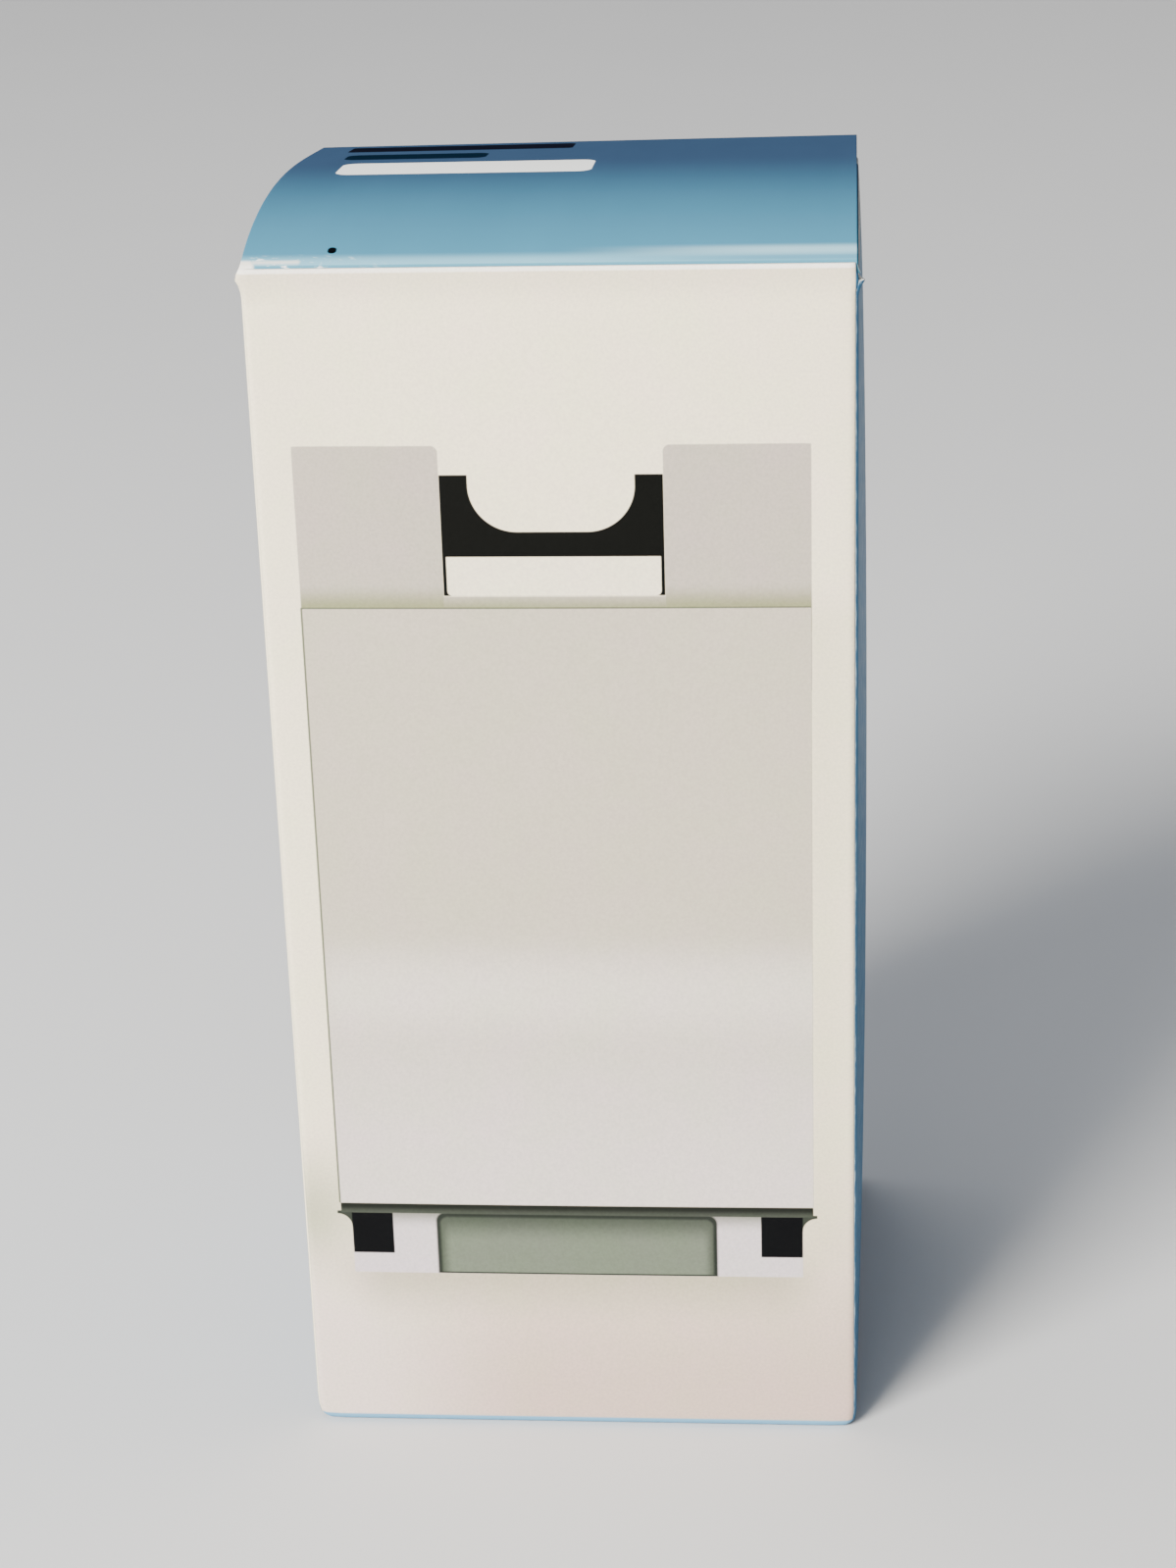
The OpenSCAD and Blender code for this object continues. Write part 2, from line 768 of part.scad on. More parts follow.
module fork_pads() {
    color("black") placed() for (s = [-1, 1])
        box([-5.4, 5.4], [25.4, 29], [carriage_z + min(s * 5, s * 5.6),
                                      carriage_z + max(s * 5, s * 5.6)]);
}

front_panel();
back_panel();
left_panel();
right_panel();
glue_flap();
bottom_closure();
bottom_tuck_flap();
bottom_dust_left();
bottom_dust_right();
top_lid();
top_tuck_flap();
dust_flap_left();
dust_flap_right();
tray_floor();
tray_left_wall();
tray_right_wall();
tray_rear_wall();
tray_divider();
foam_cheeks();
quick_guide();
adhesive_pads();
plate_screws();
wall_bracket();
rear_housing();
front_cover();
chassis();
chassis_screws();
corner_pads();
light_window();
led_board();
status_led();
release_latch();
latch_thumb_bar();
battery_holder();
batteries();
battery_springs();
battery_plates();
circuit_board();
radio_module();
board_chips();
board_screws();
push_switch();
pairing_button();
gearbox();
motor_can();
motor_shaft();
motor_gear();
leadscrew();
screw_gear();
screw_bushes();
guide_rail();
toggle_carriage();
fork_pads();
motor_leads();
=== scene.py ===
import json
import math

import bmesh
import bpy
from mathutils import Matrix, Vector


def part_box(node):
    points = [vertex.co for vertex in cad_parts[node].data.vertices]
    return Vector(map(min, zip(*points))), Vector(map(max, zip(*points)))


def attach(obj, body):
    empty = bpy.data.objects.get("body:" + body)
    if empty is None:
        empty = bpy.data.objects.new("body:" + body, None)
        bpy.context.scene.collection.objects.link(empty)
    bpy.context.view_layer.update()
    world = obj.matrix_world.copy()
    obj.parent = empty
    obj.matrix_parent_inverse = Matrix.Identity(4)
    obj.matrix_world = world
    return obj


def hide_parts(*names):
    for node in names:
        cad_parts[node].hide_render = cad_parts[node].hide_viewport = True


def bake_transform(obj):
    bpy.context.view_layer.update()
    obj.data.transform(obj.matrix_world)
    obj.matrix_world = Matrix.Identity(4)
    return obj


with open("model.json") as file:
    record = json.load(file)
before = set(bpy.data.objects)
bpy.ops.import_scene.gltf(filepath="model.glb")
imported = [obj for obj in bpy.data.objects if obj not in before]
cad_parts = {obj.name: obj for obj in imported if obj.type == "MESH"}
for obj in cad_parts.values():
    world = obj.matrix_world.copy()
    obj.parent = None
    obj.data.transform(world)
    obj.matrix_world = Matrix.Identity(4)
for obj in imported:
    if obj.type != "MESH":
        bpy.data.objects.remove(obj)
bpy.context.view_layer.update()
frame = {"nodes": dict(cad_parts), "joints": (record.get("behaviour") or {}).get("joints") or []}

# ---- Front panel ----
# The carton's white front: solid bleached boxboard, offset printed with a picture of the
# switch at about life size and sealed with a satin varnish. It is one panel of the folded
# blank, so its upright edges are rounded creases and only its top edge is cut.
MM = 0.001
BOARD = 0.6 * MM
WIDTH = (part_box("front_panel")[1].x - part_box("front_panel")[0].x) / 2
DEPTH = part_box("back_panel")[1].y
LID_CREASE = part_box("front_panel")[1].z + 0.8 * MM
FOLD = 1.2 * MM
# A narrow last row of the grid, which keeps the shading flat up to a cut edge
RIM = 0.12 * MM


def ink(code):
    """An sRGB hex colour as the linear values that Blender mixes."""
    parts = [int(code[i:i + 2], 16) / 255 for i in (0, 2, 4)]
    linear = [c / 12.92 if c <= 0.04045 else ((c + 0.055) / 1.055) ** 2.4 for c in parts]
    return (*linear, 1)


def add(tree, kind, inputs=None, **settings):
    """Adds one node, with its settings, and with a link or a value for each input named."""
    made = tree.nodes.new("ShaderNode" + kind)
    for key, value in settings.items():
        setattr(made, key, value)
    for key, value in (inputs or {}).items():
        if isinstance(value, bpy.types.NodeSocket):
            tree.links.new(value, made.inputs[key])
        else:
            made.inputs[key].default_value = value
    return made


def start_material(name, code, roughness, **sockets):
    """A named finish with its plain values on the shader, ready for its pattern nodes."""
    material = bpy.data.materials.new(name)
    material.use_nodes = True
    shader = material.node_tree.nodes["Principled BSDF"]
    shader.inputs["Base Color"].default_value = ink(code)
    shader.inputs["Roughness"].default_value = roughness
    for key, value in sockets.items():
        shader.inputs[key.replace("_", " ")].default_value = value
    return material, material.node_tree, shader


def millimetres(tree, stretch=(1, 1, 1)):
    """Object coordinates in millimetres, squeezed or flattened along each axis."""
    place = add(tree, "TexCoord")
    return add(tree, "VectorMath", {0: place.outputs["Object"],
                                    1: [k / MM for k in stretch]}, operation="MULTIPLY").outputs[0]


def mottle(tree, shader, place, size, low, high, socket="Roughness", detail=3):
    """Lets a noise with grains of one size drive a socket between two values."""
    noise = add(tree, "TexNoise", {"Vector": place, "Scale": 1 / size, "Detail": detail})
    spread = add(tree, "MapRange", {"Value": noise.outputs["Fac"], "From Min": 0.3,
                                    "From Max": 0.7, "To Min": low, "To Max": high})
    if socket:
        tree.links.new(spread.outputs[0], shader.inputs[socket])
    return spread.outputs[0]


def relief(tree, shader, height, depth):
    """Raises the surface by a height from 0 to 1, to a depth in millimetres."""
    bump = add(tree, "Bump", {"Height": height, "Distance": depth * MM, "Strength": 1.0})
    tree.links.new(bump.outputs["Normal"], shader.inputs["Normal"])


def over(tree, below, colour, mask):
    """Lays an ink over what is printed below it, where the mask is 1."""
    mixed = add(tree, "Mix", {0: mask, 6: below, 7: colour}, data_type="RGBA")
    return mixed.outputs[2]


def shape(tree, place, x, z, corner=0.15, blur=0.09):
    """A mask that is 1 inside a rectangle with round corners, in millimetres."""
    middle = ((x[0] + x[1]) / 2, 0, (z[0] + z[1]) / 2)
    core = ((x[1] - x[0]) / 2 - corner, 0, (z[1] - z[0]) / 2 - corner)
    offset = add(tree, "VectorMath", {0: place, 1: middle}, operation="SUBTRACT")
    folded = add(tree, "VectorMath", {0: offset.outputs[0]}, operation="ABSOLUTE")
    beyond = add(tree, "VectorMath", {0: folded.outputs[0], 1: core}, operation="SUBTRACT")
    clipped = add(tree, "VectorMath", {0: beyond.outputs[0], 1: (0, 0, 0)}, operation="MAXIMUM")
    length = add(tree, "VectorMath", {0: clipped.outputs[0]}, operation="LENGTH")
    mask = add(tree, "MapRange", {"Value": length.outputs["Value"], "From Min": corner - blur,
                                  "From Max": corner + blur, "To Min": 1, "To Max": 0},
               interpolation_type="SMOOTHSTEP")
    return mask.outputs[0]


def fade(tree, place, axis, start, end):
    """A mask that rises from 0 to 1 along one axis, between two distances in millimetres."""
    parts = add(tree, "SeparateXYZ", {0: place})
    ramp = add(tree, "MapRange", {"Value": parts.outputs[axis], "From Min": start,
                                  "From Max": end}, interpolation_type="SMOOTHSTEP")
    return ramp.outputs[0]


def both(tree, first, second):
    """A mask where two others overlap, or one mask made weaker by a number."""
    return add(tree, "Math", {0: first, 1: second}, operation="MULTIPLY").outputs[0]


def either(tree, first, second):
    """A mask that covers what either of two others covers."""
    return add(tree, "Math", {0: first, 1: second}, operation="MAXIMUM").outputs[0]


def outside(tree, mask):
    """The rest of the sheet, round what a mask covers."""
    return add(tree, "Math", {0: 1.0, 1: mask}, operation="SUBTRACT").outputs[0]


# A satin varnish over bleached board gives the white a soft, broad sheen
front_print, tree, shader = start_material("printed_white_boxboard", "E8E5DA", 0.42,
                                           IOR=1.5, Specular_IOR_Level=0.08)
TOP_EDGE = LID_CREASE / MM
flat = millimetres(tree, (1, 0, 1))
# Painted shade and a painted reflection of the floor: the white is darker and pinker towards the
# bottom, most on the right
paper = over(tree, ink("DFCFC6"), ink("C7B2A6"), fade(tree, flat, 0, -34, -6))
paper = over(tree, paper, ink("F3E9CE"), fade(tree, flat, 2, 4, 52))
# A painted highlight along the top edge, with a faint painted shade below it
painted_shade_below_top = fade(tree, flat, 2, TOP_EDGE - 5, TOP_EDGE - 0.7)
paper = over(tree, paper, ink("DACFBA"), both(tree, painted_shade_below_top, 0.6))
paper = over(tree, paper, ink("FFFCF4"), fade(tree, flat, 2, TOP_EDGE - 0.3, TOP_EDGE - 0.05))

# The picture is printed a little off the panel's middle. It is nearly the same on both
# sides, so most of its shapes are set out once, from past the middle line outwards.
PRINT_SHIFT = (-0.33, 0, 0.7)
MIDDLE = -2
COVER_HALF = 32.45
COVER_LOW, COVER_TOP = 34.6, 121.15
SHOULDER_IN, SHOULDER_HALF = 14.1, 32.5
SHOULDER_LOW, SHOULDER_TOP = 122.8, 142.7
LATCH_LOW, LATCH_TOP = 122.9, 138.9
CUT_HALF, CUT_LOW, CUT_CORNER = 10.5, 131.4, 6.1
THUMB_HALF, THUMB_TOP = 13.6, 128.1
FOOT_HALF = 31.0
FOOT_LOW, FOOT_TOP = 23.7, 33.3
PAD_IN, PAD_LOW = 25.3, 26.8
WINDOW_HALF, WINDOW_TOP = 18.75, 32.6
printed = add(tree, "VectorMath", {0: flat, 1: PRINT_SHIFT}, operation="SUBTRACT").outputs[0]
pair = add(tree, "VectorMath", {0: printed}, operation="ABSOLUTE").outputs[0]

# Soft printed shadows: beside the cover, and on the wall below the foot
art = over(tree, paper, ink("9FA388"), both(
    tree, shape(tree, printed, (-46, -30.5), (26, 40), 8, 8), 0.8))
art = over(tree, art, ink("C9C2A6"), both(
    tree, shape(tree, printed, (30, 37.5), (26, 122), 4, 4), 0.4))
art = over(tree, art, ink("A39F88"), both(
    tree, shape(tree, printed, (-31, 31), (19.5, 27), 5, 5), 0.75))
# The latch between the shoulders: black, cut away in a U, with a white thumb bar below
art = over(tree, art, ink("060705"), shape(
    tree, pair, (MIDDLE, SHOULDER_IN), (LATCH_LOW, LATCH_TOP)))
art = over(tree, art, paper, shape(
    tree, pair, (-CUT_HALF, CUT_HALF), (CUT_LOW, 152), CUT_CORNER))
thumb_bar = both(tree, shape(tree, pair, (MIDDLE, THUMB_HALF), (LATCH_LOW, 135), 0.7),
                 outside(tree, fade(tree, printed, 2, THUMB_TOP - 0.1, THUMB_TOP + 0.1)))
art = over(tree, art, ink("F1E8D0"), thumb_bar)
# The shoulders, round at their inner corners, and the band that joins them below the latch
UNDER_COVER = 110
for x, z, corner in (((SHOULDER_IN, SHOULDER_HALF), (UNDER_COVER, SHOULDER_TOP), 0.9),
                     ((22, SHOULDER_HALF), (UNDER_COVER, SHOULDER_TOP), 0.15),
                     ((MIDDLE, SHOULDER_HALF), (UNDER_COVER, SHOULDER_LOW), 0.15)):
    art = over(tree, art, ink("B1A99D"), shape(tree, pair, x, z, corner))
# The olive shade where they meet the top of the cover
shade = both(tree, outside(tree, fade(tree, printed, 2, 121.2, 124.8)),
             shape(tree, pair, (SHOULDER_IN, SHOULDER_HALF), (118, 126)))
low_shade = both(tree, shape(tree, pair, (MIDDLE, 14.2), (118, SHOULDER_LOW)),
                 outside(tree, fade(tree, printed, 2, 120.9, 123.6)))
art = over(tree, art, ink("7C8159"), both(tree, either(tree, shade, low_shade), 0.85))
# The flat cover, in its thin outline: greyer above, pinker below, with a soft glare low down
art = over(tree, art, ink("5E6350"), shape(
    tree, printed, (-COVER_HALF - 0.2, COVER_HALF), (COVER_LOW, COVER_TOP + 0.2)))
cover = over(tree, ink("D0C8C3"), ink("BBB3A3"), fade(tree, flat, 2, 36, 84))
cover = over(tree, cover, ink("D9D2C9"), both(
    tree, shape(tree, printed, (-34, 42), (62, 72), 4.8, 4.2), 0.7))
art = over(tree, art, cover, shape(
    tree, printed, (0.05 - COVER_HALF, COVER_HALF), (COVER_LOW, COVER_TOP)))
# The foot: pale sides, dark corner pads that flare to the cover, and the tinted window
foot = shape(tree, pair, (MIDDLE, FOOT_HALF), (FOOT_LOW, FOOT_TOP))
foot_shade = fade(tree, printed, 2, 30.5, 33.6)
art = over(tree, art, over(tree, ink("CBC3C6"), ink("77796F"), foot_shade), foot)
art = over(tree, art, ink("30352F"), both(
    tree, shape(tree, pair, (30.8, 33.0), (30.9, 33.4)),
    outside(tree, shape(tree, pair, (FOOT_HALF, 35.4), (28.3, 32.9), 2.0))))
art = over(tree, art, ink("040507"), shape(tree, pair, (PAD_IN, FOOT_HALF), (PAD_LOW, 33.15)))
art = over(tree, art, ink("252A25"), both(
    tree, shape(tree, pair, (MIDDLE, WINDOW_HALF + 0.6), (12, FOOT_TOP), 1.4, 0.2), foot))
window = over(tree, ink("656E60"), ink("3F463D"), fade(tree, printed, 2, 28.5, 32.8))
window = over(tree, window, ink("454C42"), fade(tree, pair, 0, 17.2, 18.9))
art = over(tree, art, window, both(
    tree, shape(tree, pair, (MIDDLE, WINDOW_HALF), (12, WINDOW_TOP), 1.1, 0.25),
    shape(tree, pair, (MIDDLE, 31.1), (23.95, FOOT_TOP))))
# The cover's dark lower edge, which lightens downwards and shades the top of the foot
lip = over(tree, ink("3A3F38"), ink("1A1D19"), fade(tree, printed, 2, 33.2, 34.2))
art = over(tree, art, lip, shape(tree, pair, (MIDDLE, COVER_HALF), (33.1, COVER_LOW)))

# Halftone grain, drawn about three times its real size, so that it shows
halftone = mottle(tree, shader, millimetres(tree), 0.4, 0.94, 1.06, None, 2)
art = add(tree, "VectorMath", {0: art, "Scale": halftone}, operation="SCALE").outputs[0]
# Faint warm and cool clouds where the colour screens drift
clouds = mottle(tree, shader, millimetres(tree), 7, 0, 1, None, 3)
drift = over(tree, (1.02, 0.985, 1.02, 1), (0.99, 1.01, 0.97, 1), clouds)
art = add(tree, "VectorMath", {0: art, 1: drift}, operation="MULTIPLY").outputs[0]
# The blue of the neighbouring panels wraps over the lower and the right-hand crease, painted paler
# along the lower one as a painted highlight and darker along the right-hand one as painted shade
art = over(tree, art, ink("6FA3C4"), outside(tree, fade(tree, flat, 2, 1.1, 1.4)))
art = over(tree, art, ink("35607E"), fade(tree, flat, 0, WIDTH / MM - 0.5, WIDTH / MM - 0.3))
tree.links.new(art, shader.inputs["Base Color"])
mottle(tree, shader, millimetres(tree), 2.2, 0.36, 0.46)
relief(tree, shader, mottle(tree, shader, millimetres(tree), 0.9, 0, 1, None), 0.012)

# The underside is unprinted pulp: dull and grey-white, with loose fibres that catch the light
board_liner, tree, shader = start_material("unprinted_board_back", "DAD6CB", 0.85)
fibres = mottle(tree, shader, millimetres(tree, (1, 1, 0.25)), 0.5, 0, 1, None, 4)
tree.links.new(over(tree, ink("CFCABD"), ink("E0DDD3"), fibres), shader.inputs["Base Color"])
relief(tree, shader, fibres, 0.02)

# The die's cut bares the board's core: bright, dry pulp in fine layers along the sheet
board_core, tree, shader = start_material("cut_board_edge", "F4F2EA", 0.9)
layers = mottle(tree, shader, millimetres(tree, (0.3, 0.3, 1)), 0.15, 0, 1, None, 2)
tree.links.new(over(tree, ink("E9E6DC"), ink("FAF8F2"), layers), shader.inputs["Base Color"])


# Where handling has pushed the corners about: middle, push and reach, in millimetres
DENTS = [
    ((-WIDTH / MM, -DEPTH / MM, LID_CREASE / MM - 0.9), (-1.0, -0.35, 0.1), 1.1),
    ((-WIDTH / MM + 1.3, -DEPTH / MM, LID_CREASE / MM - 3.9), (0.1, 0.35, 0), 0.7),
    ((WIDTH / MM, -DEPTH / MM + 1.2, LID_CREASE / MM - 1.7), (0.8, -0.1, 0), 1.1),
    ((-WIDTH / MM, -DEPTH / MM, 0.4), (0.35, 0.3, 0.15), 1.7),
    ((WIDTH / MM, -DEPTH / MM, 0.4), (-0.3, 0.3, 0.12), 1.5),
]


def handled(point):
    """Where a point of the new carton has moved to after some handling."""
    moved = Vector(point)
    for middle, push, reach in DENTS:
        away = (Vector(point) / MM - Vector(middle)).length / reach
        moved += Vector(push) * MM * math.exp(-away * away)
    return moved


def board_sheet(name, across, along, place, skins, body):
    """A sheet of board: a grid set out by place(), then given its thickness inwards.

    Its skins are the printed face, the liner and the cut edge."""
    bm = bmesh.new()
    columns, rows = len(across) - 1, len(along) - 1
    bmesh.ops.create_grid(bm, x_segments=columns, y_segments=rows, size=0.5)
    low = min(v.co.x for v in bm.verts)
    size = max(v.co.x for v in bm.verts) - low
    for v in bm.verts:
        i = round((v.co.x - low) / size * columns)
        j = round((v.co.y - low) / size * rows)
        v.co = handled(place(across[i], along[j]))
    mesh = bpy.data.meshes.new(name)
    bm.to_mesh(mesh)
    bm.free()
    for skin in skins:
        mesh.materials.append(skin)
    mesh.shade_smooth()
    sheet = bpy.data.objects.new(name, mesh)
    bpy.context.scene.collection.objects.link(sheet)
    solid = sheet.modifiers.new("thickness", "SOLIDIFY")
    solid.thickness = BOARD
    solid.offset = -1
    solid.use_even_offset = True
    solid.material_offset = 1
    solid.material_offset_rim = 2
    if body:
        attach(sheet, body)
    return sheet


def steps(start, end, count):
    """Evenly spaced values, with both ends."""
    return [start + (end - start) * i / count for i in range(count + 1)]


def panel_section(half):
    """The panel's cut across: half of each rounded crease, and the flat between them."""
    turns = [math.radians(a) for a in (45, 36, 27, 18, 9)]
    left = [(-half + FOLD - FOLD * math.sin(a), FOLD * math.cos(a) - FOLD) for a in turns]
    flat = [(a, 0) for a in steps(FOLD - half, half - FOLD, 34)]
    right = [(-a, b) for a, b in reversed(left)]
    return left + flat + right


def panel_rows(top):
    """Heights of the grid's rows, close together at the bottom crease and at the cut edge."""
    low = [FOLD * (1 - math.cos(math.radians(a))) for a in (0, 15, 30, 45, 60, 75)]
    return (low + steps(FOLD, 6 * MM, 5) + steps(10 * MM, top - 10 * MM, 38)
            + steps(top - 8 * MM, top - RIM, 12) + [top])


def upright(half, top, bow, turn):
    """Places a panel's points: bowed by what it holds, rounded under at the bottom."""
    def place(cut, z):
        under = FOLD - math.sqrt(max(0, FOLD ** 2 - max(0, FOLD - z) ** 2))
        a, b = cut[0] * (half - under) / half, cut[1] - under
        b += (bow * math.cos(math.pi * a / 2 / half)
              * math.sqrt(math.sin(math.pi * min(max(z, 0) / top, 1))))
        return turn(a, b, z)
    return place


front = board_sheet(
    "front_board", panel_section(WIDTH), panel_rows(LID_CREASE + 0.35 * MM),
    upright(WIDTH, LID_CREASE, 0.25 * MM, lambda a, b, z: (a, -DEPTH - b, z)),
    [front_print, board_liner, board_core], "carton")
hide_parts("front_panel")

# ---- Side and rear panels ----
# The other three panels of the same blank, flooded with a deeper blue and varnished. The
# left one is glued over a flap that carries on from the rear panel.

# A flood of solid ink under the varnish looks deep and even, with slight clouds
blue_print, tree, shader = start_material("blue_printed_boxboard", "3D6C8E", 0.4, IOR=1.5,
                                          Specular_IOR_Level=0.05)
clouds = mottle(tree, shader, millimetres(tree), 14, 0, 1, None, 2)
blue = over(tree, ink("376485"), ink("3C6A8B"), clouds)
# The ink has cracked along the creases, where the white pulp shows as fine specks
edge = add(tree, "VectorMath", {0: millimetres(tree)}, operation="ABSOLUTE").outputs[0]
creases = both(tree, fade(tree, edge, 0, WIDTH / MM - 0.6, WIDTH / MM - 0.1),
               fade(tree, edge, 1, DEPTH / MM - 0.7, DEPTH / MM - 0.3))
cracks = mottle(tree, shader, millimetres(tree, (1, 1, 0.3)), 0.5, -0.6, 1, None, 3)
blue = over(tree, blue, ink("B9D2E0"), both(tree, creases, cracks))
# Plain bars on the rear panel, where such a carton has its printed notes
rear = fade(tree, millimetres(tree), 1, DEPTH / MM - 2, DEPTH / MM - 1.5)
flat = millimetres(tree, (1, 0, 1))
BAR_HALF, BAR_HEIGHT, BAR_PITCH, FIRST_BAR = 27, 2, 6, 118
for row in range(6):
    base = FIRST_BAR - BAR_PITCH * row
    bar = shape(tree, flat, (-BAR_HALF, BAR_HALF - 5 * (row % 3)), (base, base + BAR_HEIGHT), 0.9)
    blue = over(tree, blue, ink("DCE8EE"), both(tree, bar, rear))
# The white of the front wraps over the left-hand crease
beyond_left = fade(tree, millimetres(tree), 0, 0.6 - WIDTH / MM, 0.9 - WIDTH / MM)
beyond_front = fade(tree, millimetres(tree), 1, 0.7 - DEPTH / MM, 0.9 - DEPTH / MM)
blue = over(tree, blue, ink("F3E9CE"), both(
    tree, outside(tree, beyond_left), outside(tree, beyond_front)))
tree.links.new(blue, shader.inputs["Base Color"])
mottle(tree, shader, millimetres(tree), 2.0, 0.36, 0.48)
relief(tree, shader, mottle(tree, shader, millimetres(tree), 0.9, 0, 1, None), 0.012)

SIDE_TOP = LID_CREASE - 1.9 * MM
BACK_TOP = LID_CREASE - 1.7 * MM
for name, half, top, bow, turn in (
    ("right_panel", DEPTH, SIDE_TOP, 1.3 * MM, lambda a, b, z: (WIDTH + b, a, z)),
    ("left_panel", DEPTH, SIDE_TOP, 0.3 * MM, lambda a, b, z: (-WIDTH - b, -a, z)),
    ("back_panel", WIDTH, BACK_TOP, 0.2 * MM, lambda a, b, z: (-a, DEPTH + b, z)),
):
    panel = board_sheet(name.replace("panel", "board"), panel_section(half), panel_rows(top),
                        upright(half, LID_CREASE, bow, turn),
                        [blue_print, board_liner, board_core], "carton")
    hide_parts(name)


def finish_node(name, *finishes):
    """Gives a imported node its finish, in place of the plain colour it came with."""
    node = frame["nodes"][name]
    node.data.materials.clear()
    for material in finishes:
        node.data.materials.append(material)
    return node


finish_node("glue_flap", board_liner)

# ---- Bottom closure ----
# The bottom panel folds under from the front, over two dust flaps, and its own flap tucks
# up inside the rear panel. The same blue board.
under = board_sheet(
    "bottom_board", steps(FOLD - WIDTH, WIDTH - FOLD, 12), steps(DEPTH - FOLD, FOLD - DEPTH, 12),
    lambda x, y: (x, y, 0), [blue_print, board_liner, board_core], "carton")
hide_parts("bottom_closure")
for name in ("bottom_tuck_flap", "bottom_dust_left", "bottom_dust_right"):
    finish_node(name, board_liner)

# ---- Lid and tuck flap ----
# The lid is hinged on a crease at the top of the rear panel and bows up between its two
# creases. It is flooded with a light blue, whose gloss is painted into the colour as a sheen,
# and its tuck flap slides down behind the front panel. Plain bars stand where the carton has
# its lettering.
LID_RISE = 4.4 * MM
LID_SKEW = 0.69
TUCK = next(j for j in frame["joints"] if j["name"] == "tuck_fold")["pos_m"]

# The sheen of the light blue, from the bright crease to the dark rear, is painted into the colour
# as a painted highlight and painted shade:
# a gloss here would mirror the floor and hide it
lid_print_and_sheen, tree, shader = start_material("light_blue_boxboard_painted_sheen", "4F92B2", 0.24, IOR=1.5,
                                         Specular_IOR_Level=0.0)
flat = millimetres(tree, (1, 1, 0))
split = add(tree, "SeparateXYZ", {0: flat})
plan = add(tree, "CombineXYZ", {0: split.outputs[0], 2: split.outputs[1]}).outputs[0]
above = fade(tree, millimetres(tree), 2, LID_CREASE / MM - 0.8, LID_CREASE / MM - 0.4)
# Painted shade: the light blue darkens from the front crease towards the rear
sky = over(tree, ink("457F9B"), ink("344A66"), fade(tree, flat, 1, -35, 11))
# Three bars in place of lettering, and a small printed dot near the crease
for code, x, y, corner in (("10131F", (-33, -1.5), (25.5, 32.5), 0.8),
                           ("0B1C2C", (-32, -12.5), (14.5, 21), 1.6),
                           ("F2F5F5", (-31, 3), (-0.5, 10.0), 2.0)):
    sky = over(tree, sky, ink(code), shape(tree, plan, x, y, corner))
dot = shape(tree, plan, (-27.3, -26.2), (-32.9, -31.5), 0.52)
sky = over(tree, sky, ink("06090C"), both(tree, dot, above))
sheen = mottle(tree, shader, millimetres(tree, (1, 0.25, 1)), 9, 0.97, 1.03, None, 3)
sky = add(tree, "VectorMath", {0: sky, "Scale": sheen}, operation="SCALE").outputs[0]
# A painted highlight makes the ink paler over the front crease, and painted shade makes it darker
# below the crease
FRONT = -DEPTH / MM
painted_crease_highlight = outside(tree, fade(tree, flat, 1, FRONT + 1.3, FRONT + 3.2))
painted_tuck_shade = outside(tree, fade(tree, flat, 1, FRONT + 0.82, FRONT + 1.0))
sky = over(tree, sky, ink("8AC4DA"), both(tree, painted_crease_highlight, 0.7))
# Towards the right a painted highlight climbs away from the crease, over a darker line of painted
# shade
climb = both(tree, fade(tree, flat, 0, 0, 30), 0.7)
for code, y, blur in (("4A86A2", (-35.2, -34.0), 0.4), ("A6D2E2", (-33.9, -32.2), 0.7)):
    line = shape(tree, plan, (-2, 42), y, blur, blur)
    sky = over(tree, sky, ink(code), both(tree, line, climb))
sky = over(tree, sky, ink("3F7F98"), both(tree, painted_tuck_shade, 0.7))
# The left-hand corner is rubbed down to the pulp, and a painted highlight streaks along the crease
# beside it
rubbed = both(tree, shape(tree, plan, (-39, -36.2), (-36, -34.3), 0.7, 0.35), above)
painted_glint_streak = both(tree, shape(tree, plan, (-36.5, -30.5), (-34.9, -34.3), 0.3, 0.3), 0.7)
sky = over(tree, sky, ink("F4F1E8"), either(tree, rubbed, painted_glint_streak))
# White specks near the left-hand end, only within the painted crease highlight
specks = mottle(tree, shader, millimetres(tree, (0.4, 1, 1)), 0.5, -2.6, 1.0, None, 4)
left_end = outside(tree, fade(tree, flat, 0, 2 - WIDTH / MM, 22 - WIDTH / MM))
left_specks = both(tree, specks, both(tree, left_end, above))
sky = over(tree, sky, ink("F3F7F7"), both(tree, painted_crease_highlight, left_specks))
tree.links.new(sky, shader.inputs["Base Color"])
mottle(tree, shader, millimetres(tree), 6, 0.2, 0.27)
relief(tree, shader, mottle(tree, shader, millimetres(tree), 3.5, 0, 1, None, 1), 0.012)


def lid_height(y):
    """Height of the lid's outer face at a distance from front to rear."""
    share = min(max((y + DEPTH) / 2 / DEPTH, 0), 1)
    return LID_CREASE + LID_RISE * math.sin(math.pi * share ** LID_SKEW)


def arc(middle, radius, start, end, count):
    """Points on an arc from one angle to another, in degrees."""
    return [(middle[0] + radius * math.cos(math.radians(a)),
             middle[1] + radius * math.sin(math.radians(a))) for a in steps(start, end, count)]


ROUND = 0.9 * MM
STRAIGHT = 0.4 * MM
tuck_top = (-DEPTH + 0.65 * MM, LID_CREASE - 1.0 * MM)
fold_front = arc((-DEPTH + 0.65 * MM + ROUND, LID_CREASE), ROUND, 180, 125, 6)
rear_start = DEPTH - 0.78 * MM
fold_rear = arc((DEPTH - ROUND, lid_height(rear_start) - 0.892 * MM), ROUND, 82.5, 0, 7)
first = fold_front[-1][0]
